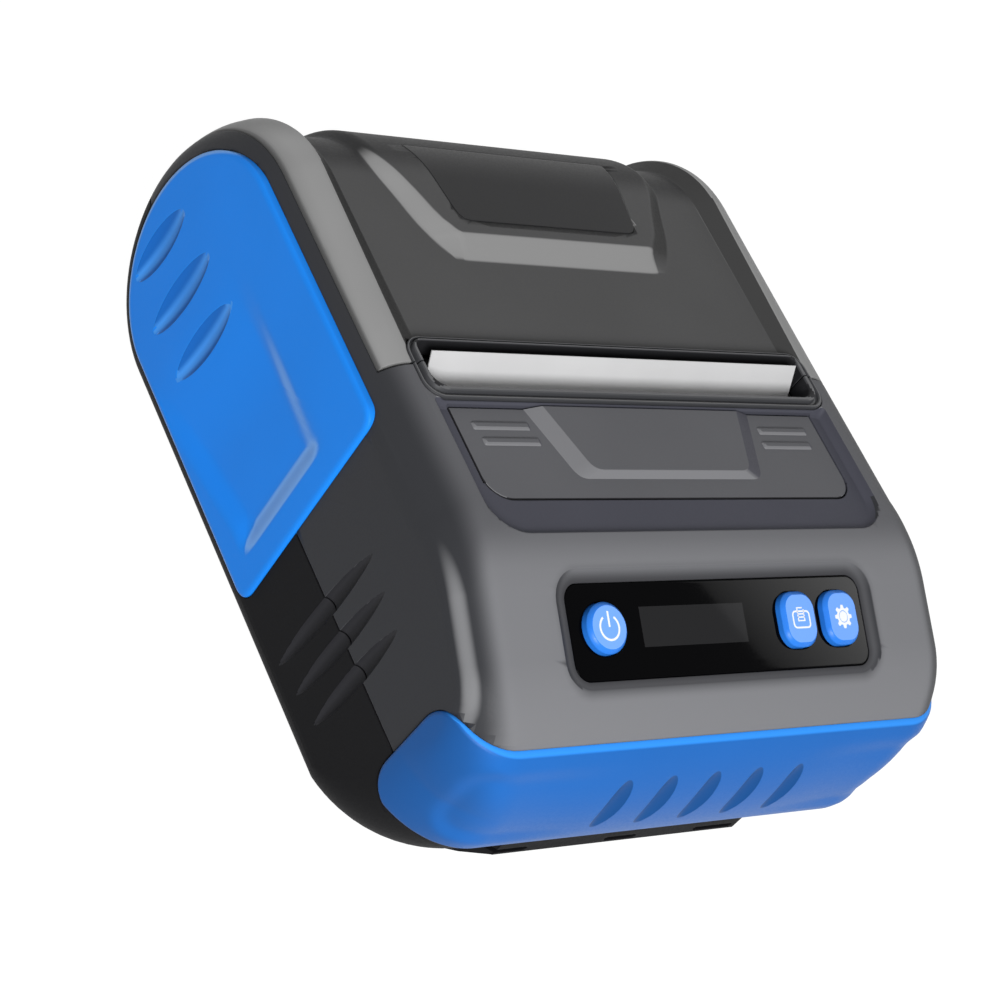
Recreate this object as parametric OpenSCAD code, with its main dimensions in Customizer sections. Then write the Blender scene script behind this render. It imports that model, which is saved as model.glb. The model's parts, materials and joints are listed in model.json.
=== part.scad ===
// Portable label printer. The nose points to -Y and the printer rests on its feet at z = 0.
// The case is one rounded shell, parted into an upper case, a lower case and a hinged cover.

/* [Case] */
// Width of the case without its side plates
case_w = 103; // [102:0.5:110]
// Length from the nose to the round back
case_l = 126; // [124:0.5:132]
// Height of the top face
case_h = 54.7; // [54:0.1:57]
// Wall of the cases and the cover
wall = 2.2; // [2:0.1:2.5]
// Radius of the nose above its widest line
nose_r = 23.5; // [23:0.1:24]
// Height of the nose
nose_z = 26; // [25:0.5:27]
// Slope of the display face in degrees
face_tilt = 23; // [21:0.5:25]
// Radius that blends the display face into the top
blend_r = 38; // [30:1:44]
// Depth of the round back, front to back
back_r = 22.9; // [22:0.1:24]
// Height of the rearmost line of the back
back_z = 28; // [27:0.5:29]
// Height of the case bottom above the feet's resting plane
foot_h = 1.5; // [1:0.1:2]
// Rounding of the long top edges
top_edge = 8; // [6:0.5:9]
// Rounding of the front corners
front_edge = 14; // [12:0.5:16]
// Rounding of the back corners
back_edge = 4.5; // [4:0.5:6]
// Rounding of the long bottom edges
bottom_edge = 5; // [4:0.5:6]
// How much tighter the edges turn beside the display face
face_edge_trim = 4; // [0:0.5:5]
// Height of the parting line between the upper and the lower case
parting_z = 24; // [22:0.5:25]
// Gap along the parting lines of the case
seam = 0.3; // [0.2:0.05:0.4]
// Gap around a piece that sits in another of the same body
fit = 0.1; // [0.05:0.05:0.2]

/* [Cover] */
// Distance from the nose to the front edge of the cover
cover_from_nose = 64.1; // [63:0.1:66]
// Width of the shoulder left beside the cover
shoulder_w = 2.9; // [2.5:0.1:3.5]
// How far the side rails of the cover rise towards the back
rail_rise = 1.15; // [0.8:0.05:1.3]
// Width of the recessed middle of the cover
middle_w = 83.2; // [80:0.2:84]
// Depth of the recessed middle
middle_depth = 1; // [0.5:0.1:1.2]
// Height of the raised field above the recessed middle
bulge_h = 1.5; // [1:0.1:2]
// Width of the raised field at its front
bulge_front_w = 46.8; // [40:0.2:50]
// Width of the raised field at the back
bulge_back_w = 63.4; // [56:0.2:68]
// Width of the cover window
window_w = 44; // [36:0.5:46]
// Length of the cover window
window_l = 17.6; // [14:0.2:19]
// Height of the hinge axis
hinge_z = 22; // [21:0.5:23]
// Distance from the hinge axis to the outside of the back
hinge_inset = 3.6; // [3.4:0.1:3.9]
// Radius of the hinge pin
hinge_pin_r = 1.5; // [1.2:0.1:1.7]

/* [Slot and label] */
// Width of the label strip and the roll
label_w = 80; // [76:0.5:80]
// Thickness of the label strip
label_t = 0.2; // [0.15:0.05:0.3]
// Radius of the label roll
roll_r = 17.5; // [14:0.5:18]
// Inside radius of the roll core
core_r = 6.35; // [6:0.05:7]
// Wall of the roll core
core_wall = 1.5; // [1:0.1:2]
// Opening of the slot, front to back
slot_l = 9.6; // [9:0.1:10.5]
// Width of the bezel rim around the slot
rim_w = 2.1; // [1.8:0.1:2.4]
// How far the lip of the bezel stands above the case
rim_h = 0.5; // [0.3:0.1:0.8]

/* [Print drive] */
// Radius of the platen rubber
platen_r = 4.6; // [4:0.1:4.8]
// Radius of the platen shaft
shaft_r = 1.5; // [1.2:0.1:1.7]
// Gap between the platen and the print head, where the label runs
nip = 0.9; // [0.8:0.05:1.1]
// Gear module
gear_m = 0.4; // [0.38:0.01:0.42]
// Teeth of the platen gear
platen_teeth = 20; // [18:2:22]
// Teeth of the idler gear
idler_teeth = 30; // [28:2:32]
// Teeth of the small wheel of the compound gear
compound_small = 15; // [14:1:16]
// Teeth of the large wheel of the compound gear
compound_large = 36; // [34:2:38]
// Teeth of the motor pinion
pinion_teeth = 12; // [12:2:14]
// Width of the gear faces
gear_w = 2.2; // [1.8:0.1:2.4]
// Running clearance of shafts in their bores
run_fit = 0.05; // [0.03:0.01:0.08]
// Radius of the stepper motor can
motor_r = 9; // [8:0.5:9.5]
// Length of the stepper motor can
motor_l = 19; // [16:0.5:22]

/* [Panel and buttons] */
// Width of the release panel
panel_w = 79.2; // [70:0.2:80]
// Length of the release panel, front to back
panel_l = 17.2; // [15:0.2:18]
// Thickness of the release panel
panel_t = 2; // [1.6:0.1:2.2]
// How deep the release panel lies in its tray
tray_depth = 1.4; // [1:0.1:1.6]
// Width of the display lens
lens_w = 64.2; // [62:0.2:66]
// Length of the display lens along the slope
lens_l = 14.8; // [14:0.1:15.4]
// Thickness of the display lens
lens_t = 1.2; // [1:0.1:1.4]
// Radius of the power button
power_r = 4; // [3.6:0.1:4.2]
// Width of the feed and settings buttons
key_w = 7.6; // [7:0.1:8]
// Length of the feed and settings buttons
key_l = 9; // [8:0.1:9.4]
// How far the buttons stand out of the lens
button_h = 1.5; // [1:0.1:2]
// Travel of the buttons
button_travel = 0.4; // [0.3:0.05:0.5]

/* [Plates and bumper] */
// Thickness of a side plate
plate_t = 1.8; // [1.6:0.1:2]
// How far a side plate stands proud of the case
plate_proud = 0.6; // [0.4:0.1:0.8]
// Distance from the case outline to the edge of a side plate
plate_inset = 4.5; // [4:0.1:5]
// Thickness of the front bumper
bumper_t = 1.7; // [1.5:0.1:1.9]
// How far the bumper stands proud of the case
bumper_proud = 0.5; // [0.3:0.1:0.7]
// Height of the lower edge of the bumper
bumper_low = 16.2; // [15:0.2:17]
// Height of the upper edge of the bumper
bumper_high = 39.4; // [38:0.2:40]
// How far the bumper reaches back along the sides
bumper_reach = 14.6; // [13:0.2:16]

/* [Battery and base] */
// Width of the battery pack
battery_w = 66; // [60:0.5:68]
// Length of the battery pack
battery_l = 54; // [50:0.5:55]
// Height of the battery pack
battery_h = 11.4; // [10:0.2:11.6]
// Clearance all round the battery pack
battery_gap = 0.4; // [0.3:0.05:0.6]
// Width of the charging socket
port_w = 9; // [8.6:0.1:9.4]
// Height of the charging socket
port_h = 3.2; // [3:0.1:3.6]
// Thickness of the circuit boards
board_t = 1.2; // [1:0.1:1.6]
// Radius of the case screws
screw_r = 1.2; // [1:0.1:1.4]

/* [Hidden] */
$fn = 48;
eps = 0.01;
big = 300;

hw = case_w / 2;
hl = case_l / 2;
front_c = [-hl + nose_r, nose_z];
back_c = [hl - back_r, back_z];
// Where the straight display slope leaves the nose
slope_foot = front_c + nose_r * [-sin(face_tilt), cos(face_tilt)];
slope_len = (case_h - blend_r * (1 - cos(face_tilt)) - slope_foot[1]) / sin(face_tilt);
blend_c = [slope_foot[0] + slope_len * cos(face_tilt) + blend_r * sin(face_tilt), case_h - blend_r];

slot_y = -hl + cover_from_nose;
cover_hw = hw - shoulder_w;
skin_in = hw - wall;
// Rearmost line of the case at the height of the hinge
hinge_back = back_c[0] + back_r * sqrt(1 - pow((back_z - hinge_z) / (back_z - foot_h), 2));
hinge_y = hinge_back - hinge_inset;
knuckle_r = hinge_inset - 0.4;
hinge_sweep = hinge_inset + 1.4;

platen = [slot_y + 2.5, case_h - 8.5];
head_y = platen[0] - platen_r - nip;
label_hw = label_w / 2;
// Planes across the width, from the middle outwards
rubber_hw = label_hw + 0.4;
arm_in = rubber_hw + 0.6;
arm_t = 2;
hook_in = arm_in + arm_t + 0.9;
hook_t = 1.2;
gear_x2 = skin_in - 1.5;
gear_x1 = gear_x2 - gear_w;
wheel_x2 = gear_x1 - 0.7;
wheel_x1 = wheel_x2 - gear_w + 0.2;
bracket_t = 0.8;
bracket_x = wheel_x1 - 0.3 - bracket_t;

platen_pr = platen_teeth * gear_m / 2;
idler_pr = idler_teeth * gear_m / 2;
small_pr = compound_small * gear_m / 2;
large_pr = compound_large * gear_m / 2;
pinion_pr = pinion_teeth * gear_m / 2;
// Directions from each axis to the next, in degrees from the back, turning up
idler_dir = 250;
compound_dir = 217;
pinion_dir = 217;
idler = platen + (platen_pr + idler_pr) * [cos(idler_dir), sin(idler_dir)];
compound = idler + (idler_pr + small_pr) * [cos(compound_dir), sin(compound_dir)];
pinion = compound + (large_pr + pinion_pr) * [cos(pinion_dir), sin(pinion_dir)];
axle_r = 1;

roll = [back_c[0] - 4.1, back_z];
strip_r = platen_r + nip / 2;
tub_wall = 1.4;
tub_gap = 0.4;
tub_front = slot_y + 7.2;
tub_hw = skin_in - 1.5;
holder_t = 1.6;
holder_travel = 3.6;
hub_l = 3.2;
hub_gap = 0.35;
holder_x = label_hw + 0.3;
rack_h = 1.8;
rack_teeth = 20;
rack_r = rack_teeth * gear_m / 2;
floor_z = foot_h + wall + tub_gap + tub_wall;

panel_back = slot_y - 7.6;
panel_hw = panel_w / 2;
panel_z = case_h - tray_depth;
panel_swing = 4;
latch_axis = [slot_y - 9.1, case_h - 13.7];
latch_r = 1.3;

// Middle of the display lens on the slope, and the lens's top face
lens_c = [slope_foot[0] + 3.9 * cos(face_tilt), slope_foot[1] + 3.9 * sin(face_tilt)];
lens_drop = 0.8;
power_x = 6.7 - lens_w / 2;
settings_x = lens_w / 2 - 6.3;
feed_x = settings_x - key_w - 2.2;
key_up = 0.4;
screen_w = 22.6;
screen_l = 6.4;
screen_x = -6.8;
button_z = -4.8;

battery_front = -hl + 4.4;
battery_y = battery_front + battery_l / 2;
battery_z = 0.4;
bay_top = battery_z + battery_h + battery_gap;
port_y = -hl + 31;
port_z = foot_h + 13;
groove_facets = 12;

/* Points of the case outline seen from the side: y, z and the outward normal */
function oval(c, a, b, f0, f1, n) = [
    for (i = [0:n])
        let (f = f0 + (f1 - f0) * i / n, ny = cos(f) / a, nz = sin(f) / b, m = norm([ny, nz]))
            [c[0] + a * cos(f), c[1] + b * sin(f), ny / m, nz / m]
];
function tail(v) = [for (i = [1:len(v) - 1]) v[i]];
outline = concat(
    oval(front_c, nose_r, nose_z - foot_h, 270, 180, 7),
    tail(oval(front_c, nose_r, nose_r, 180, 90 + face_tilt, 7)),
    oval(blend_c, blend_r, blend_r, 90 + face_tilt, 90, 3),
    [[slot_y, case_h, 0, 1]],
    oval(back_c, back_r, case_h - back_z, 90, 0, 9),
    tail(oval(back_c, back_r, back_z - foot_h, 0, -90, 9))
);
// The edge rounding changes smoothly round the outline
function edge_of(p) =
    p[3] < 0
        ? bottom_edge + abs(p[2]) * ((p[2] < 0 ? front_edge : back_edge) - bottom_edge)
        : top_edge + p[2] * p[2] * ((p[2] < 0 ? front_edge : back_edge) - top_edge)
            + 2 * min(0, p[2]) * p[3] * face_edge_trim;
function drop_at(x, r, o) =
    let (u = min(max(0, x - hw + r), r - o)) r - sqrt(max(0, pow(r - o, 2) - u * u));
// Rise of the rails, full where the top meets the round back
function rise_at(p) =
    rail_rise * (
        p[0] < back_c[0] - 1
            ? 0
            : p[3] > 0 ? 0.42 + 0.58 * pow(p[3], 0.7) : 0.42 * max(0, 1 + 2 * p[3])
    );
rail_top_x = middle_w / 2 + 2.2;
function rail_share(x) = min(1, max(0, (cover_hw + 0.2 - x) / (cover_hw + 0.2 - rail_top_x)));
function ring(x, o) = [
    for (p = outline)
        let (d = drop_at(x, edge_of(p), o) - (o > 0 ? 0 : rise_at(p) * rail_share(x)))
            [p[0] - p[2] * d, p[1] - p[3] * d]
];
function inset(o) = [for (p = outline) [p[0] - p[2] * o, p[1] - p[3] * o]];

/* Helpers */
// Lifts a shape drawn in Y and Z and spreads it across X, from x1 to x2
module across(x1, x2) {
    translate([x1, 0, 0]) rotate([90, 0, 90]) linear_extrude(x2 - x1) children();
}
// The whole rounded case, shrunk by o all round, as rings of points from left to right
module blob(o) {
    reach = [for (k = [0:5]) hw - front_edge + (front_edge - o) * sin(18 * k)];
    xs = concat([for (k = [5:-1:0]) -reach[k]], reach);
    n = len(outline);
    last = len(xs) - 1;
    polyhedron(
        points = concat(
            [for (x = xs) for (p = ring(abs(x), o)) [x, p[0], p[1]]],
            [for (x = [xs[0], xs[last]]) [x, 0, nose_z]]
        ),
        faces = concat(
            // Flat ends, fanned out from a point in the middle
            [for (i = [0:n - 1]) [(last + 1) * n, (i + 1) % n, i]],
            [for (i = [0:n - 1]) [(last + 1) * n + 1, last * n + i, last * n + (i + 1) % n]],
            [for (k = [0:last - 1], i = [0:n - 1], t = [0, 1])
                let (a = k * n + i, b = k * n + (i + 1) % n) t == 0 ? [a, b, b + n] : [a, b + n, a + n]]
        )
    );
}
module rod(r, x1, x2, c) {
    translate([x1, c[0], c[1]]) rotate([0, 90, 0]) cylinder(r = r, h = x2 - x1);
}
module box(x1, x2, y1, y2, z1, z2) {
    translate([x1, y1, z1]) cube([x2 - x1, y2 - y1, z2 - z1]);
}
// Rounded rectangle round the origin
module rounded(w, l, r) {
    square([w - 2 * r, l], center = true);
    square([w, l - 2 * r], center = true);
    for (x = [-1, 1], y = [-1, 1]) translate([x * (w / 2 - r), y * (l / 2 - r)]) circle(r);
}
module pad(w, l, r, h) {
    linear_extrude(h) rounded(w, l, r);
}
// Frame of the display: X across, Y up the slope, Z out of the face
module on_slope() {
    translate([0, lens_c[0], lens_c[1]]) rotate([face_tilt, 0, 0]) children();
}
// Upright spindle that cuts a lens-shaped groove of length l, width w and depth d into the plane x = 0,
// from the side that s points to
module groove(s, l, w, d) {
    belly = (d + w * w / 4 / d) / 2;
    r = (l * l / 4 + d * d) / 2 / d;
    h = l / 2 + 0.5;
    translate([s * (belly - d), 0, 0])
        rotate_extrude($fn = groove_facets)
            polygon(concat(
                [[0, -h]], [for (i = [-6:6]) [sqrt(r * r - pow(h * i / 6, 2)) - r + belly, h * i / 6]], [[0, h]]
            ));
}
// Spur gear with straight-sided teeth, drawn round the origin, turned by phase
module gear2d(teeth, phase) {
    r = teeth * gear_m / 2;
    step = 360 / teeth;
    polygon([
        for (i = [0:teeth - 1], s = [[-0.30, -1.2], [-0.12, 0.85], [0.12, 0.85], [0.30, -1.2]])
            (r + s[1] * gear_m) * [cos(phase + (i + s[0]) * step), sin(phase + (i + s[0]) * step)]
    ]);
}
module gear(teeth, phase, x1, x2, c, bore) {
    difference() {
        across(x1, x2) translate(c) gear2d(teeth, phase);
        rod(bore, x1 - 1, x2 + 1, c);
    }
}

/* Zones that share out the shell */
module cover_zone(g) {
    box(-cover_hw - g, cover_hw + g, slot_y - g, hl + 5, hinge_z, case_h + 9);
    rod(hinge_sweep + g, -cover_hw - g, cover_hw + g, [hinge_y, hinge_z]);
}
module bumper_zone(g) {
    across(-hw - 5, hw + 5)
        translate([-hl + bumper_reach / 2 - 3, (bumper_low + bumper_high) / 2])
            rounded(bumper_reach + 6 + 2 * g, bumper_high - bumper_low + 2 * g, 6);
}
module plate2d(g) {
    lean = 3 / (case_h - foot_h);
    front = slot_y - 10.6;
    intersection() {
        polygon(inset(plate_inset - g));
        polygon([
            [front - g, foot_h], [front - g + lean * (case_h - foot_h), case_h], [hl + 5, case_h], [hl + 5, foot_h]
        ]);
    }
}
module battery_box(g) {
    box(-battery_w / 2 - g, battery_w / 2 + g, battery_front - g, battery_front + battery_l + g,
        battery_z - (g > 0 ? 5 : 0), battery_z + battery_h + g);
}

/* Case */
module side_grooves(s, low) {
    for (i = [0:2]) {
        top = 37.6 - 1 * i;
        bottom = low ? 8 + i : parting_z + 1.5;
        translate([s * hw, slot_y - 23.2 - 6.2 * i, (top + bottom) / 2]) groove(s, top - bottom, 3.4, 1.3);
    }
}
module upper_case() {
    color("#4a4b50") difference() {
        union() {
            difference() {
                blob(0);
                blob(wall);
                box(-hw - 5, hw + 5, -hl - 5, hl + 5, -5, parting_z + seam / 2);
                cover_zone(seam);
            }
            // Ledge that carries the front edge of the release panel
            intersection() {
                blob(wall / 2);
                box(-panel_hw - 3, panel_hw + 3, panel_back - panel_l - 3, panel_back - panel_l + 2.9,
                    panel_z - panel_t - 1.8, case_h);
            }
            // Frame behind the display lens
            on_slope() translate([0, 0, -3.6]) pad(lens_w + 5, lens_l + 5, 4, 2.6);
        }
        // Tray and opening of the release panel
        translate([0, panel_back - panel_l / 2 - 2.6, panel_z])
            pad(panel_w + 6, panel_l + 8, 5, 9);
        translate([0, panel_back - panel_l / 2, panel_z - panel_t - seam])
            pad(panel_w + 2 * seam, panel_l + 2 * seam, 4.5, 20);
        box(-panel_hw - seam, panel_hw + seam, panel_back - panel_l + 2.9, panel_back + seam, 30, case_h);
        // Slot bezel and everything below it
        translate([0, 0, case_h - 9]) linear_extrude(20) bezel_outline(fit);
        // Display pocket and the opening behind the lens
        on_slope() {
            translate([0, 0, -lens_drop - lens_t - fit]) pad(lens_w + 2 * fit, lens_l + 2 * fit, 2.8, 20);
            translate([0, 0, -lens_drop]) pad(lens_w + 2.6, lens_l + 2.6, 4, 20);
            translate([0, 0, -12]) pad(lens_w - 1.2, lens_l - 2, 2, 20);
        }
        for (s = [-1, 1]) {
            across(s > 0 ? hw + plate_proud - plate_t - fit : -hw - 5, s > 0 ? hw + 5 : -hw - plate_proud + plate_t + fit)
                plate2d(fit);
            side_grooves(s, s < 0);
        }
        difference() {
            bumper_zone(fit);
            blob(bumper_t - bumper_proud + fit);
        }
    }
}
module lower_case() {
    color("#1f1f21") difference() {
        union() {
            difference() {
                blob(0);
                blob(wall);
                box(-hw - 5, hw + 5, -hl - 5, hl + 5, parting_z - seam / 2, case_h + 5);
            }
            // Walls and roof of the battery bay
            intersection() {
                blob(wall / 2);
                box(-battery_w / 2 - 2, battery_w / 2 + 2, battery_front - 2, battery_front + battery_l + 2,
                    foot_h, bay_top + 1.5);
            }
            // Screw posts
            for (x = [-1, 1], y = [-hl + 19, slot_y + 2])
                translate([x * (hw - 9.5), y, foot_h + 1]) cylinder(r = 3, h = parting_z - foot_h - 4);
            // Hinge knuckles on posts inside the back wall
            for (s = [-1, 1])
                translate([s * 34.5, 0, 0]) {
                    rod(knuckle_r, -3.5, 3.5, [hinge_y, hinge_z]);
                    intersection() {
                        blob(0.2);
                        box(-3.5, 3.5, hinge_y - knuckle_r + 1, hinge_y + 2.4, foot_h + 4, hinge_z);
                    }
                }
        }
        // The sweep of the cover's lower edge, left solid at the knuckles
        difference() {
            cover_zone(seam);
            for (s = [-1, 1])
                box(s * 34.5 - 3.8, s * 34.5 + 3.8, hinge_y - 9, hinge_y + 2.5, 0, hinge_z + 9);
        }
        rod(hinge_pin_r + run_fit, -41, 41, [hinge_y, hinge_z]);
        battery_box(battery_gap);
        for (x = [-1, 1], y = [-hl + 19, slot_y + 2])
            translate([x * (hw - 9.5), y, -1]) {
                cylinder(r = screw_r + 0.15, h = parting_z);
                cylinder(r = 2.4, h = foot_h + 3.6);
            }
        for (x = [-1, 1], y = [-hl + 33, hl - 24])
            translate([x * (hw - 14), y, 0]) cylinder(r = 4 + fit, h = foot_h + 0.8);
        // Slot for the battery latch
        box(-7.4, 7.4, battery_front + battery_l - 1, battery_front + battery_l + 8.4, -1, foot_h + wall + 1);
        box(-9.8, 9.8, battery_front + battery_l - 1, battery_front + battery_l + 9, foot_h + wall, foot_h + wall + 1.8);
        // Charging socket and the seat of its flap
        box(hw - 1.2, hw + 5, port_y - 8.2, port_y + 8.2, port_z - 4.7, port_z + 4.7);
        box(hw - 6, hw, port_y - port_w / 2 - 0.2, port_y + port_w / 2 + 0.2, port_z - port_h / 2 - 0.2, port_z + port_h / 2 + 0.2);
        for (s = [-1, 1])
            across(s > 0 ? hw + plate_proud - plate_t - fit : -hw - 5, s > 0 ? hw + 5 : -hw - plate_proud + plate_t + fit)
                plate2d(fit);
        side_grooves(-1, true);
        difference() {
            bumper_zone(fit);
            blob(bumper_t - bumper_proud + fit);
        }
    }
}
module side_plate(s) {
    color("#1f7ce8") difference() {
        across(s > 0 ? hw + plate_proud - plate_t : -hw - plate_proud, s > 0 ? hw + plate_proud : -hw - plate_proud + plate_t)
            plate2d(0);
        for (i = [0:2])
            translate([s * (hw + plate_proud), hl - 11.9 - 10.3 * i, 22.6]) groove(s, i == 0 ? 17.5 : 20, 5.4, 1.3);
        across(s > 0 ? hw + plate_proud - 0.7 : -hw - plate_proud - 5, s > 0 ? hw + plate_proud + 5 : -hw - plate_proud + 0.7)
            translate([slot_y + 15.7, 24]) rounded(41, 25.5, 3);
    }
}
module side_plate_left() side_plate(-1);
module side_plate_right() side_plate(1);
module front_bumper() {
    color("#1f7ce8") difference() {
        intersection() {
            blob(-bumper_proud);
            bumper_zone(0);
        }
        blob(bumper_t - bumper_proud);
        for (i = [-2:2])
            translate([i * 9.4, -hl - bumper_proud, (bumper_low + bumper_high) / 2 + 1.4]) rotate([-4, 0, 90])
                groove(-1, 26, 4.2, 1.2);
    }
}

/* Cover and the pieces it carries */
module slab(o1, o2, hx) {
    difference() {
        across(-hx, hx) polygon(inset(o1));
        across(-hx - 1, hx + 1) polygon(inset(o2));
    }
}
module bulge2d() {
    y0 = slot_y + 22.5;
    y1 = y0 + 19;
    polygon([
        [-bulge_front_w / 2, y0], [bulge_front_w / 2, y0], [bulge_back_w / 2, y1], [bulge_back_w / 2, hl + 5],
        [-bulge_back_w / 2, hl + 5], [-bulge_back_w / 2, y1]
    ]);
}
window_y = slot_y + 38.7;
module cover() {
    color("#6c6d70") difference() {
        union() {
            difference() {
                intersection() {
                    difference() {
                        blob(0);
                        blob(wall);
                    }
                    cover_zone(0);
                }
                // Recessed middle
                slab(-3, middle_depth, middle_w / 2);
            }
            // Raised field
            intersection() {
                slab(middle_depth - bulge_h, wall, bulge_back_w / 2 + 1);
                translate([0, 0, hinge_z + 1]) linear_extrude(50) bulge2d();
            }
            // Arms that carry the platen
            for (s = [-1, 1])
                across(s > 0 ? arm_in : -arm_in - arm_t, s > 0 ? arm_in + arm_t : -arm_in)
                    polygon([
                        [slot_y + 0.2, case_h - wall - 0.3], [slot_y + 0.2, platen[1] - 2], [platen[0] - 0.8, platen[1] - 4],
                        [platen[0] + 2.5, platen[1] - 4], [slot_y + 16, case_h - wall - 0.3], [slot_y + 16, case_h - wall + 0.6],
                        [slot_y + 2, case_h - wall + 0.6]
                    ]);
            // Hinge knuckles
            for (s = [-1, 1])
                translate([s * 26, 0, 0]) {
                    rod(knuckle_r, -4.2, 4.2, [hinge_y, hinge_z]);
                    intersection() {
                        box(-4.2, 4.2, hinge_y - knuckle_r, hinge_y + knuckle_r - 0.6, hinge_z, hinge_z + 9);
                        blob(0.5);
                    }
                }
        }
        for (s = [-1, 1]) {
            // Room for the knuckles of the lower case
            box(s * 34.5 - 4.2, s * 34.5 + 4.2, hinge_y - 9, hl + 5, hinge_z - 9, hinge_z + knuckle_r + 0.9);
            rod(shaft_r + 1.2 + fit, s > 0 ? arm_in - 1 : -arm_in - arm_t - 1, s > 0 ? arm_in + arm_t + 1 : -arm_in + 1, platen);
        }
        rod(hinge_pin_r + run_fit, -41, 41, [hinge_y, hinge_z]);
        // Room for the sprung coils round the pin
        rod(knuckle_r, -20.5, 20.5, [hinge_y, hinge_z]);
        // Seat of the window, with a through opening
        intersection() {
            slab(middle_depth - bulge_h - 1, middle_depth - bulge_h + 1.3, bulge_back_w / 2);
            translate([0, window_y, back_z + 8]) pad(window_w + 2 * fit, window_l + 2 * fit, 2.1, 40);
        }
        translate([0, window_y, back_z + 8]) pad(window_w - 4, window_l - 4, 1.5, 40);
        // Seat of the bezel
        translate([0, 0, case_h - 3.1]) linear_extrude(20) bezel_outline(fit);
        translate([0, 0, case_h - 6]) linear_extrude(20) slot_hole();
    }
}
module cover_window() {
    color("#1c1c1e") intersection() {
        slab(middle_depth - bulge_h, middle_depth - bulge_h + 1.2, bulge_back_w / 2);
        translate([0, window_y, back_z + 8]) pad(window_w, window_l, 2, 40);
    }
}
// Frame round the slot. It is deeper in front of the slot than behind it.
module bezel_outline(g) {
    front = slot_y - slot_l / 2 - rim_w - g;
    back = slot_y + slot_l / 2 + 0.5 * rim_w - 0.9 + g;
    translate([0, (front + back) / 2]) rounded(label_w + 3.2 + 2 * rim_w + 2 * g, back - front, 3.4);
}
module slot_hole() {
    translate([0, slot_y - 0.45]) rounded(label_w + 3.2, slot_l - 0.9, 1);
}
module bezel(z1) {
    difference() {
        translate([0, 0, z1]) linear_extrude(case_h + 0.2 * rim_h - z1) bezel_outline(0);
        translate([0, 0, z1 - 1]) linear_extrude(20) slot_hole();
    }
    // Lip right round the hole
    translate([0, 0, case_h - 1]) linear_extrude(1 + rim_h)
        difference() {
            translate([0, slot_y - 0.45]) rounded(label_w + 3.2 + 0.8 * rim_w, slot_l - 0.9 + 0.8 * rim_w, 1.8);
            slot_hole();
        }
}
module slot_bezel_upper() {
    color("#3a3b3e") intersection() {
        bezel(case_h - 3);
        box(-hw, hw, slot_y, slot_y + 20, 0, case_h + 5);
    }
}
module slot_bezel_lower() {
    color("#4a4b50") intersection() {
        bezel(case_h - 4);
        box(-hw, hw, slot_y - 20, slot_y - seam, 0, case_h + 5);
    }
}
module hinge_pin() {
    color("silver") rod(hinge_pin_r, -39.5, 39.5, [hinge_y, hinge_z]);
}
// Torsion spring coils round the hinge pin
module cover_springs() {
    color("silver")
        for (s = [-1, 1], i = [0:5])
            translate([s * (5 + 1.2 * i), hinge_y, hinge_z]) rotate([0, 90, 0])
                rotate_extrude() translate([hinge_pin_r + 0.7, 0]) circle(0.45, $fn = 16);
}

/* Print drive */
module platen_shaft() {
    color("silver") rod(shaft_r, -hook_in - hook_t - 0.4, gear_x2, platen);
}
module platen_rubber() {
    color("#202020") difference() {
        rod(platen_r, -rubber_hw, rubber_hw, platen);
        rod(shaft_r + 0.01, -rubber_hw - 1, rubber_hw + 1, platen);
    }
}
module platen_bushes() {
    color("ivory")
        for (s = [-1, 1])
            difference() {
                rod(shaft_r + 1.2, s > 0 ? arm_in : -arm_in - arm_t, s > 0 ? arm_in + arm_t : -arm_in, platen);
                rod(shaft_r + run_fit, s * (arm_in + 1) - 3, s * (arm_in + 1) + 3, platen);
            }
}
// Phases that put a tooth of one gear in a gap of the next
idler_phase = idler_dir + 180 + 180 / idler_teeth - (idler_dir) * 0;
small_phase = compound_dir + 180;
small_step = 360 / compound_small;
// Turn of the idler's teeth at its mesh with the compound gear
function frac(a, step) = a / step - floor(a / step);
idler_at_mesh = frac(compound_dir - idler_phase, 360 / idler_teeth);
compound_phase = compound_dir + 180 + (idler_at_mesh + 0.5) * 360 / compound_small;
large_at_mesh = frac(pinion_dir - compound_phase, 360 / compound_large);
pinion_phase = pinion_dir + 180 + (large_at_mesh + 0.5) * 360 / pinion_teeth;
module platen_gear() {
    color("white") gear(platen_teeth, idler_dir, gear_x1, gear_x2, platen, shaft_r + 0.01);
}
module idler_gear() {
    color("white") gear(idler_teeth, idler_phase, gear_x1, gear_x2, idler, axle_r + run_fit);
}
module compound_gear() {
    color("white") {
        gear(compound_small, compound_phase, wheel_x2 - 0.01, gear_x2, compound, axle_r + run_fit);
        gear(compound_large, compound_phase, wheel_x1, wheel_x2, compound, axle_r + run_fit);
    }
}
module motor_pinion() {
    color("goldenrod") {
        across(wheel_x1, wheel_x2) translate(pinion) gear2d(pinion_teeth, pinion_phase);
        rod(axle_r, bracket_x - 3, wheel_x1 + 0.01, pinion);
    }
}
module stepper_motor() {
    color("silver") difference() {
        union() {
            rod(motor_r, bracket_x - 0.3 - motor_l, bracket_x - 0.3, pinion);
            rod(3, bracket_x - 0.31, bracket_x + bracket_t - 0.05, pinion);
        }
        rod(axle_r + run_fit, bracket_x - 3.2, bracket_x + 3, pinion);
    }
}
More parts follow.
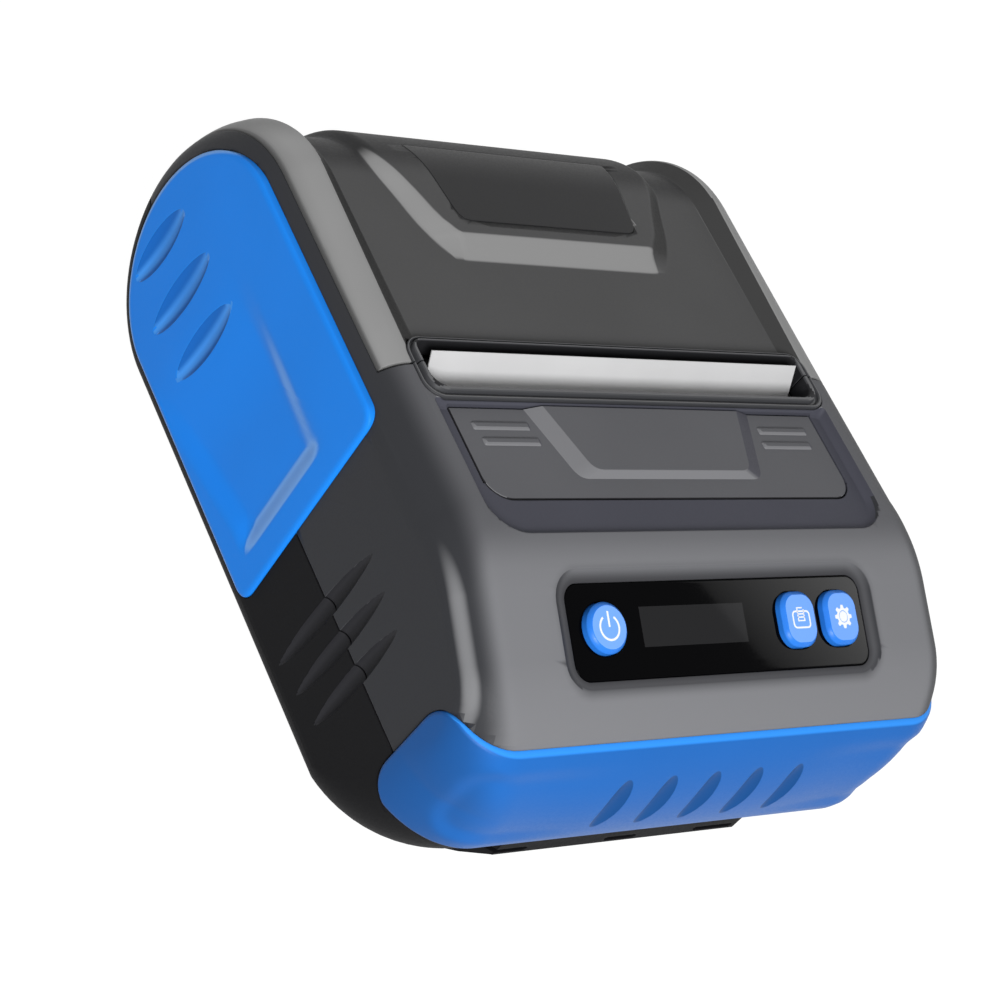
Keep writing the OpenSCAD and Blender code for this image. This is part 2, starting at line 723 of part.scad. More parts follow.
module gear_bracket() {
    color("gainsboro") difference() {
        union() {
            across(bracket_x, bracket_x + bracket_t)
                polygon([
                    pinion + [-motor_r - 1, -motor_r - 1.6], pinion + [motor_r - 1, -motor_r - 1.6], compound + [4, -9],
                    idler + [5, -6], idler + [5, 4], idler + [-5, 4], pinion + [-motor_r - 1, motor_r - 1]
                ]);
            for (c = [idler, compound]) {
                rod(axle_r, bracket_x, gear_x2 + 0.6, c);
                rod(axle_r + 0.5, gear_x2 + 0.2, gear_x2 + 0.7, c);
            }
            rod(axle_r + 0.25, bracket_x, gear_x1 - 0.2, idler);
            // Foot that stands on the battery bay
            box(bracket_x - 13, bracket_x + bracket_t, pinion[0] - 6, pinion[0] + 6, bay_top + 1.5, bay_top + 2.4);
            box(bracket_x, bracket_x + bracket_t, pinion[0] - 6, pinion[0] + 6, bay_top + 1.5, pinion[1] - 6);
        }
        rod(3 + fit, bracket_x - 1, bracket_x + bracket_t + 1, pinion);
        rod(latch_r + 0.3, bracket_x - 1, bracket_x + bracket_t + 1, latch_axis);
    }
}
module print_head() {
    color("#d9d2b8") box(-label_hw - 0.6, label_hw + 0.6, head_y - 1, head_y, platen[1] - 6, platen[1] + 3.4);
}
module heat_sink() {
    color("silver") difference() {
        box(-label_hw - 0.6, label_hw + 0.6, head_y - 3.2, head_y - 1 - fit, platen[1] - 14, platen[1] + 3.4);
        for (i = [-2:2]) translate([i * 14, head_y, platen[1] - 10.5]) rotate([90, 0, 0]) cylinder(r = 1.6, h = 10, center = true);
    }
}
module tear_bar() {
    n = 40;
    y1 = slot_y - slot_l / 2 + 0.1;
    color("silver") translate([0, y1 + 0.5, 0]) rotate([90, 0, 0]) linear_extrude(0.5)
        polygon(concat(
            [[-label_hw - 0.5, platen[1] + 4], [-label_hw - 0.5, case_h - 2]],
            [for (i = [0:n - 1], s = [0, 1]) [-label_hw - 0.5 + (i + s * 0.5) * (label_w + 1) / n, case_h - 2 + s]],
            [[label_hw + 0.5, case_h - 2], [label_hw + 0.5, platen[1] + 4]]
        ));
}
module latch_lever() {
    tip = [panel_back - 5.5, panel_z - panel_t - 0.5];
    // Front of the platen shaft, with the room that the shaft needs as the cover rises
    shaft_front = platen - [shaft_r + 0.5, 0];
    color("ivory") {
        rod(latch_r, -hook_in - hook_t, hook_in + hook_t, latch_axis);
        for (s = [-1, 1]) {
            across(s > 0 ? hook_in : -hook_in - hook_t, s > 0 ? hook_in + hook_t : -hook_in)
                polygon([
                    latch_axis + [-1.8, 0], latch_axis + [0, -1.8], shaft_front + [-0.6, -2], shaft_front,
                    shaft_front + [1.1, 2.6], shaft_front + [0, 3.4], shaft_front + [-2.2, 2.4]
                ]);
            across(s * 30 - 2, s * 30 + 2)
                polygon([
                    latch_axis + [-1.2, -0.6], latch_axis + [1.2, 0.4], tip + [1.4, -0.6], tip + [0.8, 0], tip + [-0.8, 0],
                    tip + [-1.4, -0.6]
                ]);
        }
    }
}
module latch_spring() {
    color("silver")
        for (i = [0:5])
            translate([-6 + 1.1 * i, latch_axis[0], latch_axis[1]]) rotate([0, 90, 0])
                rotate_extrude() translate([latch_r + 0.6, 0]) circle(0.4, $fn = 16);
}

/* Panel, display and buttons */
module release_panel() {
    color("#4a4b50") difference() {
        union() {
            translate([0, panel_back - panel_l / 2, panel_z - panel_t]) pad(panel_w, panel_l, 4.2, panel_t);
            // Raised middle field
            translate([0, 0, panel_z - eps]) linear_extrude(0.4)
                polygon([
                    [-23.2, panel_back - 0.6], [23.2, panel_back - 0.6], [19.1, panel_back - 12.6], [-19.1, panel_back - 12.6]
                ]);
            for (s = [-1, 1], i = [0, 1])
                translate([s * (31.5 - 1.6 * i), panel_back - 4.4 - 3.2 * i, panel_z - eps]) pad(11, 1.6, 0.7, 0.4);
        }
        translate([0, 0, panel_z - 0.1]) linear_extrude(2)
            polygon([
                [-21, panel_back + 1], [21, panel_back + 1], [17.6, panel_back - 11], [-17.6, panel_back - 11]
            ]);
    }
}
module display_lens() {
    color("#08080a") on_slope() difference() {
        translate([0, 0, -lens_drop - lens_t]) pad(lens_w, lens_l, 2.7, lens_t);
        translate([power_x, key_up, -5]) cylinder(r = power_r + 0.2, h = 10);
        for (x = [feed_x, settings_x])
            translate([x, key_up, -5]) pad(key_w + 0.4, key_l + 0.4, 3.2, 10);
    }
}
module display_screen() {
    color("#202225") on_slope() translate([screen_x, 0, -lens_drop - lens_t - 1.5])
        pad(screen_w + 3, screen_l + 3, 0.5, 1.4);
}
// Levels of a button from the crown down, measured from the slope
crown_z = -lens_drop + button_h;
flange_z = -lens_drop - lens_t - 0.05;
module power_button() {
    color("#3f8ff0") on_slope() translate([power_x, key_up, 0]) {
        translate([0, 0, flange_z - eps]) cylinder(r = power_r, h = crown_z - 0.4 - flange_z + eps);
        translate([0, 0, crown_z - 0.5]) cylinder(r = power_r - 0.7, h = 0.5);
        translate([0, 0, flange_z - 0.9]) cylinder(r = power_r + 0.4, h = 0.9);
        translate([0, 0, button_z]) cylinder(r = 1.6, h = 2);
    }
}
module key(x) {
    color("#3f8ff0") on_slope() translate([x, key_up, 0]) {
        translate([0, 0, flange_z - eps]) pad(key_w, key_l, 3, crown_z - 0.4 - flange_z + eps);
        translate([0, 0, crown_z - 0.5]) pad(key_w - 1.4, key_l - 1.4, 2.6, 0.5);
        translate([0, 0, flange_z - 0.9]) pad(key_w + 0.7, key_l + 0.7, 3, 0.9);
        translate([0, 0, button_z]) cylinder(r = 1.6, h = 2);
    }
}
module feed_button() key(feed_x);
module settings_button() key(settings_x);
module dome_switches() {
    color("silver") on_slope()
        for (x = [power_x, feed_x, settings_x])
            translate([x, key_up, button_z - button_travel - 1.1]) cylinder(r1 = 2.6, r2 = 1.8, h = 0.9);
}
module button_board() {
    color("#1d6b3a") on_slope() translate([0, 0, button_z - button_travel - 1.1 - board_t - 0.02])
        pad(lens_w - 2, lens_l - 3, 1, board_t);
}
module main_board() {
    z = bay_top + 1.5 + 1.6;
    color("#1d6b3a") {
        box(-36, 36, -hl + 13, -hl + 39, z, z + board_t);
        translate([-14, -hl + 26, z]) cube([11, 11, 1.4 + board_t]);
        translate([6, -hl + 24, z]) cube([7, 7, 1 + board_t]);
        box(20, 32, -hl + 30, -hl + 36, z, z + board_t + 4);
        box(-30, -22, -hl + 18, -hl + 34, z, z + board_t + 3);
        for (x = [-34, -4, 26], y = [-hl + 15, -hl + 37])
            translate([x, y, z - 1.6]) cylinder(r = 1.5, h = 1.7);
    }
}

/* Roll bay */
module roll_tub() {
    color("#2a2a2c") difference() {
        union() {
            intersection() {
                slab(wall + tub_gap, wall + tub_gap + tub_wall, tub_hw - front_edge / 4);
                box(-hw, hw, tub_front, hl, 0, hinge_z - 8.5);
            }
            for (s = [-1, 1])
                across(s > 0 ? tub_hw - tub_wall : -tub_hw, s > 0 ? tub_hw : -tub_hw + tub_wall)
                    intersection() {
                        polygon(inset(wall + 1.6 + top_edge * 0.4));
                        translate([tub_front, 0]) square([big, big]);
                    }
            box(-tub_hw + tub_wall - eps, tub_hw - tub_wall + eps, tub_front, tub_front + tub_wall, floor_z - 1, platen[1] - 10);
            box(-tub_hw + tub_wall - eps, tub_hw - tub_wall + eps, tub_front, back_c[0] - 1, floor_z - tub_wall, floor_z);
        }
        rod(hinge_sweep + 1.2, -hw, hw, [hinge_y, hinge_z]);
        // Clearance round the screw posts and the gears
        box(hook_in - 1.5, hw, tub_front - 1, tub_front + 3, platen[1] - 12, case_h);
    }
}
module label_roll() {
    color("#ecebe6") difference() {
        rod(roll_r, -label_hw, label_hw, roll);
        rod(core_r + core_wall + 0.02, -label_hw - 1, label_hw + 1, roll);
    }
}
module roll_core() {
    color("#b79b72") difference() {
        rod(core_r + core_wall, -label_hw, label_hw, roll);
        rod(core_r, -label_hw - 1, label_hw + 1, roll);
    }
}
// Path of the label from the top of the roll, under the platen and out of the slot
roll_to_platen = roll - platen;
path_dir = atan2(roll_to_platen[1], roll_to_platen[0]);
roll_path_r = roll_r + 0.5;
wrap = acos((strip_r + roll_path_r) / norm(roll_to_platen));
lean = 32.6;
exit_r = 6;
exit_z = platen[1] + 1.8;
exit_c = [platen[0] - strip_r + exit_r, exit_z];
exit_end = exit_c + exit_r * [-cos(lean), sin(lean)];
function strip_path() = concat(
    [roll + roll_path_r * [cos(path_dir + 180 - wrap), sin(path_dir + 180 - wrap)]],
    [for (i = [0:10]) let (a = path_dir - wrap - (180 + path_dir - wrap) * i / 10) platen + strip_r * [cos(a), sin(a)]],
    [for (i = [0:4]) let (a = 180 - lean * i / 4) exit_c + exit_r * [cos(a), sin(a)]],
    [exit_end + 5.5 * [sin(lean), cos(lean)]]
);
function side_of(path, d) = [
    for (i = [0:len(path) - 1])
        let (
            a = path[max(0, i - 1)], b = path[min(len(path) - 1, i + 1)],
            t = (b - a) / norm(b - a)
        ) path[i] + d * [-t[1], t[0]]
];
function reversed(v) = [for (i = [len(v) - 1:-1:0]) v[i]];
module label_strip() {
    path = strip_path();
    color("#f4f4f2") across(-label_hw, label_hw)
        polygon(concat(side_of(path, label_t / 2), reversed(side_of(path, -label_t / 2))));
}
module roll_holder(s) {
    // The rack of the right holder runs in front of the pinion, the left one behind it
    x1 = s > 0 ? holder_x : -holder_x - holder_t;
    color("#3a3b3e") difference() {
        union() {
            rod(11, x1, x1 + holder_t, roll);
            box(x1, x1 + holder_t, roll[0] - 6.5, roll[0] + 6.5, floor_z + 0.3, roll[1]);
            rod(core_r - hub_gap, s > 0 ? holder_x - hub_l : x1, s > 0 ? x1 + holder_t : -holder_x + hub_l, roll);
            translate([0, roll[0], floor_z + 0.3]) rotate([0, 0, s > 0 ? 0 : 180]) linear_extrude(rack_h)
                polygon(concat(
                    [[holder_x + holder_t, -rack_r - 2.6], [holder_x + holder_t, -rack_r - 0.5]],
                    [for (k = [4:-1:-7], t = [[0.3, -0.5], [0.12, 0.34], [-0.12, 0.34], [-0.3, -0.5]])
                        [(k + 0.5 + t[0]) * PI * gear_m, -rack_r + t[1]]],
                    [[-7.4 * PI * gear_m, -rack_r - 0.5], [-7.4 * PI * gear_m, -rack_r - 2.6]]
                ));
        }
        rod(core_r - hub_gap - 1.4, x1 - hub_l - 1, x1 + hub_l + holder_t + 1, roll);
    }
}
module roll_holder_left() roll_holder(-1);
module roll_holder_right() roll_holder(1);
module centring_pinion() {
    color("ivory") translate([0, roll[0], floor_z + 0.3]) difference() {
        linear_extrude(rack_h) gear2d(rack_teeth, 90);
        translate([0, 0, -1]) cylinder(r = 1 + run_fit, h = rack_h + 2);
    }
}
module media_sensor() {
    color("#101010") box(-4, 4, tub_front + tub_wall + 1, tub_front + tub_wall + 6, floor_z + 0.02, floor_z + 3);
}

/* Base */
// The lower side edges are cut off at a slant
module battery_pack() {
    color("#1a1a1b") difference() {
        intersection() {
            battery_box(0);
            blob(-2.7);
        }
        for (s = [-1, 1])
            translate([s * (battery_w / 2 - 5), 0, battery_z]) rotate([0, -s * 30, 0])
                translate([-3, -big / 2, -9]) cube([15, big, 9], center = false);
    }
}
module battery_latch() {
    y = battery_front + battery_l;
    color("#2c2c2e") {
        box(-7, 7, y + 0.6, y + 5, foot_h - 0.3, foot_h + wall + 0.4);
        box(-9.4, 9.4, y + 0.8, y + 5.6, foot_h + wall + 0.3, foot_h + wall + 1.4);
    }
}
module battery_contacts() {
    color("gold")
        for (i = [-2:2])
            box(i * 4 - 0.8, i * 4 + 0.8, battery_y - 3, battery_y + 3, bay_top - 0.35, bay_top - 0.02);
}
module charging_socket() {
    color("silver") difference() {
        box(hw - 8.6, hw - 1.3, port_y - port_w / 2, port_y + port_w / 2, port_z - port_h / 2, port_z + port_h / 2);
        box(hw - 7.6, hw, port_y - port_w / 2 + 0.35, port_y + port_w / 2 - 0.35, port_z - port_h / 2 + 0.35, port_z + port_h / 2 - 0.35);
    }
}
module port_flap() {
    color("#2c2c2e") {
        box(hw - 0.9, hw + 0.3, port_y - 7.8, port_y + 7.8, port_z - 3.8, port_z + 4.3);
        translate([hw - 0.3, port_y - 7.8, port_z - 3.8]) rotate([-90, 0, 0]) cylinder(r = 0.6, h = 15.6);
    }
}
module rubber_feet() {
    color("#303030")
        for (x = [-1, 1], y = [-hl + 33, hl - 24])
            translate([x * (hw - 14), y, 0]) cylinder(r = 4, h = foot_h + 0.7);
}
module case_screws() {
    color("silver")
        for (x = [-1, 1], y = [-hl + 19, slot_y + 2])
            translate([x * (hw - 9.5), y, 0]) {
                translate([0, 0, foot_h + 1.2]) cylinder(r = 2.1, h = 1.4 - fit);
                translate([0, 0, foot_h + 1.3]) cylinder(r = screw_r, h = parting_z - foot_h - 5);
            }
}

upper_case();
lower_case();
side_plate_left();
side_plate_right();
front_bumper();
cover();
cover_window();
slot_bezel_upper();
slot_bezel_lower();
release_panel();
display_lens();
display_screen();
power_button();
feed_button();
settings_button();
button_board();
dome_switches();
main_board();
roll_tub();
label_roll();
roll_core();
label_strip();
roll_holder_left();
roll_holder_right();
centring_pinion();
platen_shaft();
platen_rubber();
platen_bushes();
platen_gear();
idler_gear();
compound_gear();
motor_pinion();
stepper_motor();
gear_bracket();
print_head();
heat_sink();
tear_bar();
latch_lever();
latch_spring();
hinge_pin();
cover_springs();
media_sensor();
battery_pack();
battery_latch();
battery_contacts();
charging_socket();
port_flap();
rubber_feet();
case_screws();
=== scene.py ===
import bpy
import bmesh
import json
import math
from mathutils import Matrix, Vector

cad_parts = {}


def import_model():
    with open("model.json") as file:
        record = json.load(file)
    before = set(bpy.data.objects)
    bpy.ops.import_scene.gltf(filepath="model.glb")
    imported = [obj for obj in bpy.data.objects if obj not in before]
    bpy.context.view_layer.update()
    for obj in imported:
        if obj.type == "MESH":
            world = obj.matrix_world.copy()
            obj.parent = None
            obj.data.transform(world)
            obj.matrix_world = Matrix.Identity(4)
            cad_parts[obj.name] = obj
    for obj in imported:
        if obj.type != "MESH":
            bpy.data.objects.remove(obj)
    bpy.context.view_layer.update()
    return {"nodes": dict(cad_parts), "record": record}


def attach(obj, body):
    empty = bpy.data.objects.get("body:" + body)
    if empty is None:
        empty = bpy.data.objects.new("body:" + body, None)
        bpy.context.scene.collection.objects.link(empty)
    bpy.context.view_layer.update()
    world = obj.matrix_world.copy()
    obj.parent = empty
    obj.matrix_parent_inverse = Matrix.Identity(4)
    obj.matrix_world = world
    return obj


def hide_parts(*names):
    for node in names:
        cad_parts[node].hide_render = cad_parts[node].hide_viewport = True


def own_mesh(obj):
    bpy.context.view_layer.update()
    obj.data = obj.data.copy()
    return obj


# Label printer. Lengths are millimetres until meshObject turns them into metres.
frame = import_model()
nodes = frame["nodes"]
scene = bpy.context.scene
mm = 0.001
mergeReach, solidReach = 0.000012, 0.0000005  # metres: points of a finished piece, points of a CAD solid
looks = {}

caseShape = {
    "halfWidth": 51.5, "halfLength": 63.0, "height": 54.7, "footHeight": 1.5, "wall": 2.2,
    "noseRadius": 23.5, "noseZ": 26.0, "faceTilt": 23.0, "blendRadius": 38.0, "lensUp": 3.9,
    "backRadius": 22.9, "backZ": 28.0, "partingZ": 24.0, "seam": 0.3, "fit": 0.1, "slotY": 1.1,
    "topEdge": 8.0, "frontEdge": 14.0, "backEdge": 4.5, "bottomEdge": 5.0, "faceEdgeTrim": 4.0,
    "coverHalf": 48.6, "coverSlack": 0.22, "railRise": 1.15, "railCrest": 0.35, "insideGap": 0.04,
    "hinge": (58.8048, 22.0), "hingeSweep": 5.0, "knuckleRadius": 3.2,
    "pinHole": 1.55, "pinHalf": 41, "stayX": 34.5,
}
# how far the cutting solids reach: to each side, behind the cover and up; and what takes away half the case
farX, farY, farZ = 60, 68, 64
halfSpace = (-70, 70, -80, 80)
tilt = math.radians(caseShape["faceTilt"])
frontCentre = (-caseShape["halfLength"] + caseShape["noseRadius"], caseShape["noseZ"])
slopeFoot = (frontCentre[0] - caseShape["noseRadius"] * math.sin(tilt),
             frontCentre[1] + caseShape["noseRadius"] * math.cos(tilt))
slopeRise = caseShape["height"] - caseShape["blendRadius"] * (1 - math.cos(tilt)) - slopeFoot[1]
slopeLength = slopeRise / math.sin(tilt)
blendCentre = (slopeFoot[0] + slopeLength * math.cos(tilt) + caseShape["blendRadius"] * math.sin(tilt),
               caseShape["height"] - caseShape["blendRadius"])
backCentre = (caseShape["halfLength"] - caseShape["backRadius"], caseShape["backZ"])
lensCentre = (slopeFoot[0] + caseShape["lensUp"] * math.cos(tilt),
              slopeFoot[1] + caseShape["lensUp"] * math.sin(tilt))


# outline of the case seen from the side, as y, z and the outward normal
def ovalArc(centre, a, b, start, end, steps):
    points = []
    for i in range(steps + 1):
        angle = math.radians(start + (end - start) * i / steps)
        ny, nz = math.cos(angle) / a, math.sin(angle) / b
        size = math.hypot(ny, nz)
        y, z = centre[0] + a * math.cos(angle), centre[1] + b * math.sin(angle)
        points.append((y, z, ny / size, nz / size))
    return points


def caseOutline(detail=1.0):
    c = caseShape
    steps = lambda n: max(3, round(n * detail))
    nose, blend, back = c["noseRadius"], c["blendRadius"], c["backRadius"]
    faceEnd = 90 + c["faceTilt"]
    flatTop = [(y, c["height"], 0.0, 1.0) for y in (-15.0, -6.0, c["slotY"], 12.0, 24.0, 33.0)]
    return (ovalArc(frontCentre, nose, c["noseZ"] - c["footHeight"], 270, 180, steps(22))
            + ovalArc(frontCentre, nose, nose, 180, faceEnd, steps(18))[1:]
            + ovalArc(blendCentre, blend, blend, faceEnd, 90, steps(14))
            + flatTop
            + ovalArc(backCentre, back, c["height"] - c["backZ"], 90, 0, steps(26))
            + ovalArc(backCentre, back, c["backZ"] - c["footHeight"], 0, -90, steps(22))[1:])


# radius of the long edges, from where the case's surface looks
def edgeRadius(ny, nz):
    c = caseShape
    side = c["frontEdge"] if ny < 0 else c["backEdge"]
    if nz < 0:
        return c["bottomEdge"] + abs(ny) * (side - c["bottomEdge"])
    return c["topEdge"] + ny * ny * (side - c["topEdge"]) + 2 * min(0, ny) * nz * c["faceEdgeTrim"]


# how far the rounded long edges draw the case in at x
def edgeDrop(x, ny, nz, inset=0.0):
    radius = edgeRadius(ny, nz)
    past = min(max(0, abs(x) - caseShape["halfWidth"] + radius), radius - inset)
    return radius - math.sqrt(max(0, (radius - inset) ** 2 - past * past))


def ringAt(x, inset, outline):
    points = []
    for y, z, ny, nz in outline:
        drop = edgeDrop(x, ny, nz, inset)
        points.append((x, y - ny * drop, z - nz * drop))
    return points


# mesh helpers
def meshObject(verts, faces):
    mesh = bpy.data.meshes.new("solid")
    mesh.from_pydata([(x * mm, y * mm, z * mm) for x, y, z in verts], [], faces)
    made = bpy.data.objects.new("solid", mesh)
    scene.collection.objects.link(made)
    bm = bmesh.new()
    bm.from_mesh(mesh)
    bmesh.ops.recalc_face_normals(bm, faces=bm.faces)
    bm.to_mesh(mesh)
    bm.free()
    return made


# faces between rings of points; closed also joins the last ring to the first
def gridFaces(rows, columns, closed=False):
    faces = []
    for i in range(rows if closed else rows - 1):
        for j in range(columns):
            here, there, after = i * columns, ((i + 1) % rows) * columns, (j + 1) % columns
            faces.append((here + j, here + after, there + after, there + j))
    return faces


# rings of points of one length make a solid, capped at both ends unless it closes on itself
def loft(rings, closed=False):
    count = len(rings[0])
    verts = [p for ring in rings for p in ring]
    faces = gridFaces(len(rings), count, closed)
    if not closed:
        faces += [tuple(range(count - 1, -1, -1)), tuple(range(len(verts) - count, len(verts)))]
    return meshObject(verts, faces)


# a sheet with two skins, given row by row
def sheetSolid(outer, inner):
    rings = [skin + list(reversed(back)) for skin, back in zip(outer, inner)]
    width, half = len(rings[0]), len(outer[0])
    faces = gridFaces(len(rings), width)
    for first in (0, (len(rings) - 1) * width):
        last = first + width - 1
        faces += [(first + j, first + j + 1, last - 1 - j, last - j) for j in range(half - 1)]
    return meshObject([p for ring in rings for p in ring], faces)


def onAxis(points, axis, level):
    return [(level, a, b) if axis == "x" else (a, b, level) for a, b in points]


def prism(points, axis, low, high):
    return loft([onAxis(points, axis, low), onAxis(points, axis, high)])


def boxSolid(x0, x1, y0, y1, z0, z1):
    return prism([(x0, y0), (x1, y0), (x1, y1), (x0, y1)], "z", z0, z1)


def circle(centre, radius, sides=48):
    angles = [2 * math.pi * i / sides for i in range(sides)]
    return [(centre[0] + radius * math.cos(a), centre[1] + radius * math.sin(a)) for a in angles]


def tube(radius, half, centre, sides=48):
    return prism(circle(centre, radius, sides), "x", -half, half)


def pillar(radius, x, y, top):
    return prism(circle((x, y), radius), "z", -1, top)


# radii in the order of the corners: (x1, y1), (x0, y1), (x0, y0), (x1, y0)
def roundRect(x0, x1, y0, y1, radii, steps=8):
    if not hasattr(radii, "__len__"):
        radii = (radii,) * 4
    corners = [(x1, y1, -1, -1, 0), (x0, y1, 1, -1, 90), (x0, y0, 1, 1, 180), (x1, y0, -1, 1, 270)]
    points = []
    for (cx, cy, sx, sy, turn), r in zip(corners, radii):
        for i in range(steps + 1):
            angle = math.radians(turn + 90 * i / steps)
            points.append((cx + sx * r + r * math.cos(angle), cy + sy * r + r * math.sin(angle)))
    return points


# corners of a line replaced by arcs of equal point counts
def softLine(points, radii, steps=5):
    made = [points[0]]
    for a, b, c, r in zip(points, points[1:], points[2:], radii):
        corner = Vector(b)
        va, vc = (Vector(a) - corner), (Vector(c) - corner)
        reach = min(r, va.length * 0.49, vc.length * 0.49)
        p, q = corner + va.normalized() * reach, corner + vc.normalized() * reach
        for k in range(steps + 1):
            t = k / steps
            made.append(tuple((1 - t) ** 2 * p + 2 * t * (1 - t) * corner + t * t * q))
    made.append(points[-1])
    return made


def smoothstep(a, b, v):
    t = min(1.0, max(0.0, (v - a) / (b - a)))
    return t * t * (3 - 2 * t)


# turns the modifiers into the mesh itself
def settle(thing):
    graph = bpy.context.evaluated_depsgraph_get()
    mesh = bpy.data.meshes.new_from_object(thing.evaluated_get(graph))
    thing.modifiers.clear()
    thing.data = mesh
    return thing


def copyOf(thing):
    made = bpy.data.objects.new("copy", thing.data.copy())
    scene.collection.objects.link(made)
    return made


def combine(thing, others, operation):
    for other in others:
        step = thing.modifiers.new("combine", "BOOLEAN")
        step.operation, step.solver, step.object = operation, "MANIFOLD", other
        settle(thing)
        bpy.data.objects.remove(other)
    return thing


def cut(thing, *others):
    return combine(thing, others, "DIFFERENCE")


def meet(thing, *others):
    return combine(thing, others, "INTERSECT")


def join(thing, *others):
    return combine(thing, others, "UNION")


# joins points closer than reach; slivers go as well where that is asked
def weld(thing, reach, slivers=False):
    bm = bmesh.new()
    bm.from_mesh(thing.data)
    bmesh.ops.remove_doubles(bm, verts=bm.verts, dist=reach)
    if slivers:
        bmesh.ops.dissolve_degenerate(bm, edges=bm.edges, dist=reach)
    bm.to_mesh(thing.data)
    bm.free()
    return thing


# several meshes as one, without joining their volumes
def gather(thing, *others):
    bm = bmesh.new()
    for part in (thing, *others):
        bm.from_mesh(part.data)
    bm.to_mesh(thing.data)
    bm.free()
    for part in others:
        bpy.data.objects.remove(part)
    return thing


# smooth shading with crisp edges, flat faces kept flat
def shade(thing, angle=24):
    weld(thing, mergeReach, slivers=True)
    thing.data.polygons.foreach_set("use_smooth", [True] * len(thing.data.polygons))
    thing.data.set_sharp_from_angle(angle=math.radians(angle))
    step = thing.modifiers.new("even shading", "WEIGHTED_NORMAL")
    step.keep_sharp, step.weight = True, 60
    return settle(thing)


# finishes a piece that stands for a node: its materials and the body it rides on;
# pick gives the number of the material from a face's centre in millimetres and its normal
def place(thing, node, finishes, body, angle=24, pick=None):
    shade(thing, angle)
    thing.name = thing.data.name = node + "_dressed"
    thing.data.materials.clear()
    for name in finishes:
        thing.data.materials.append(looks[name])
    for polygon in thing.data.polygons:
        polygon.material_index = pick(polygon.center / mm, polygon.normal) if pick else 0
    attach(thing, body)
    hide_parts(node)
    return thing


fineOutline, coarseOutline = caseOutline(), caseOutline(0.5)


# the whole rounded case, shrunk by inset all round
def caseBlob(inset, steps=16, outline=fineOutline):
    edge = caseShape["frontEdge"]
    reach = [caseShape["halfWidth"] - edge + (edge - inset) * math.sin(math.radians(90 * k / steps))
             for k in range(steps + 1)]
    xs = [-v for v in reversed(reach)] + reach
    count = len(outline)
    verts = [p for x in xs for p in ringAt(x, inset, outline)]
    faces = gridFaces(len(xs), count)
    for x, first in ((xs[0], 0), (xs[-1], (len(xs) - 1) * count)):
        verts.append((x, 0, caseShape["noseZ"]))
        faces += [(len(verts) - 1, first + i, first + (i + 1) % count) for i in range(count)]
    return meshObject(verts, faces)


def hollow():
    return caseBlob(caseShape["wall"], 10, coarseOutline)


# what the solid of a node has inside the shell: posts, ribs, knuckles, bay walls
def innerParts(node):
    made = weld(copyOf(nodes[node]), solidReach)
    return meet(made, caseBlob(caseShape["wall"] - caseShape["insideGap"], 5, coarseOutline))


# spindle behind a lens-shaped groove: its radius at h from the middle, and its axis's height over the surface
def spindle(h, length, width, depth):
    belly = (depth + width * width / 4 / depth) / 2
    bow = (length * length / 4 + depth * depth) / 2 / depth
    return math.sqrt(max(0, bow * bow - h * h)) - bow + belly, belly - depth


# cutter for such a groove in the plane through centre; side points out of the material
def lensGroove(centre, size, side=(1, 0, 0), along=(0, 0, 1), steps=28, sides=40):
    half = size[0] / 2 + 0.5
    out, up = Vector(side).normalized(), Vector(along).normalized()
    across = up.cross(out)
    rings = []
    for i in range(steps + 1):
        h = -half + 2 * half * i / steps
        r, off = spindle(h, *size)
        ring = []
        for j in range(sides):
            angle = 2 * math.pi * j / sides
            depth, shift = off + r * math.cos(angle), r * math.sin(angle)
            ring.append(Vector(centre) + out * depth + across * shift + up * h)
        rings.append(ring)
    return loft(rings)


# half the groove's width at h; sag is how far the surface falls back there
def grooveHalf(h, size, sag=0.0):
    r, off = spindle(h, *size)
    return math.sqrt(max(0, r * r - (off + sag) ** 2)) if off + sag < r else 0.0


# outlines shared by the pieces
lensShape = {
    "width": 64.2, "length": 14.8, "thick": 1.2, "drop": 0.8, "corner": 2.7,
    "screen": (-6.3, 0.48, 22.3, 6.2), "power": (-25.4, 0.4, 4.0), "keys": (16.0, 25.8), "keyUp": 0.4,
    "keyWidth": 7.6, "keyLength": 9.0, "keyCorner": 3.0, "keyHeight": 1.5,
    # corner of the dish round the glass, and its sides as (height, growth)
    "fieldCorner": 2.8, "fieldSides": ((-0.72, 1.25), (-0.5, 1.8), (-0.22, 2.2), (0.3, 2.75)),
}
bezelShape = {"half": 41.6, "front": -3.7, "back": 5.0, "rim": 2.1, "rearRim": 1.05, "outerCorner": 3.4,
              "slotCorner": 1.0, "caseFloor": 45.7, "coverFloor": 51.6, "slotFloor": 48.7, "above": 66}


def bezelRing(side, front, back, radius, z, steps=8):
    b = bezelShape
    ring = roundRect(-b["half"] - side, b["half"] + side, b["front"] - front, b["back"] + back, radius, steps)
    return onAxis(ring, "z", z)


def bezelCutter(low):
    b, gap = bezelShape, caseShape["fit"]
    rim, rear = b["rim"] + gap, b["rearRim"] + gap
    return loft([bezelRing(rim, rim, rear, b["outerCorner"], z) for z in (low, b["above"])])


def slotCutter():
    b = bezelShape
    return loft([bezelRing(0, 0, 0, b["slotCorner"], z) for z in (b["slotFloor"], b["above"])])


plateShape = {
    "proud": 0.6, "thick": 1.8, "inset": 4.5, "front": -9.5, "lean": 3.0, "corner": 3.4,
    "round": 0.55, "roundWidth": 1.1, "middle": (24.0, 26.0),
    "scoops": (17.5, 20.0, 20.0), "scoopWidth": 5.4, "scoopDepth": 1.3,  # scoops holds their lengths
    "scoopZ": 22.6, "scoopFromBack": 11.9, "scoopPitch": 10.3,
}


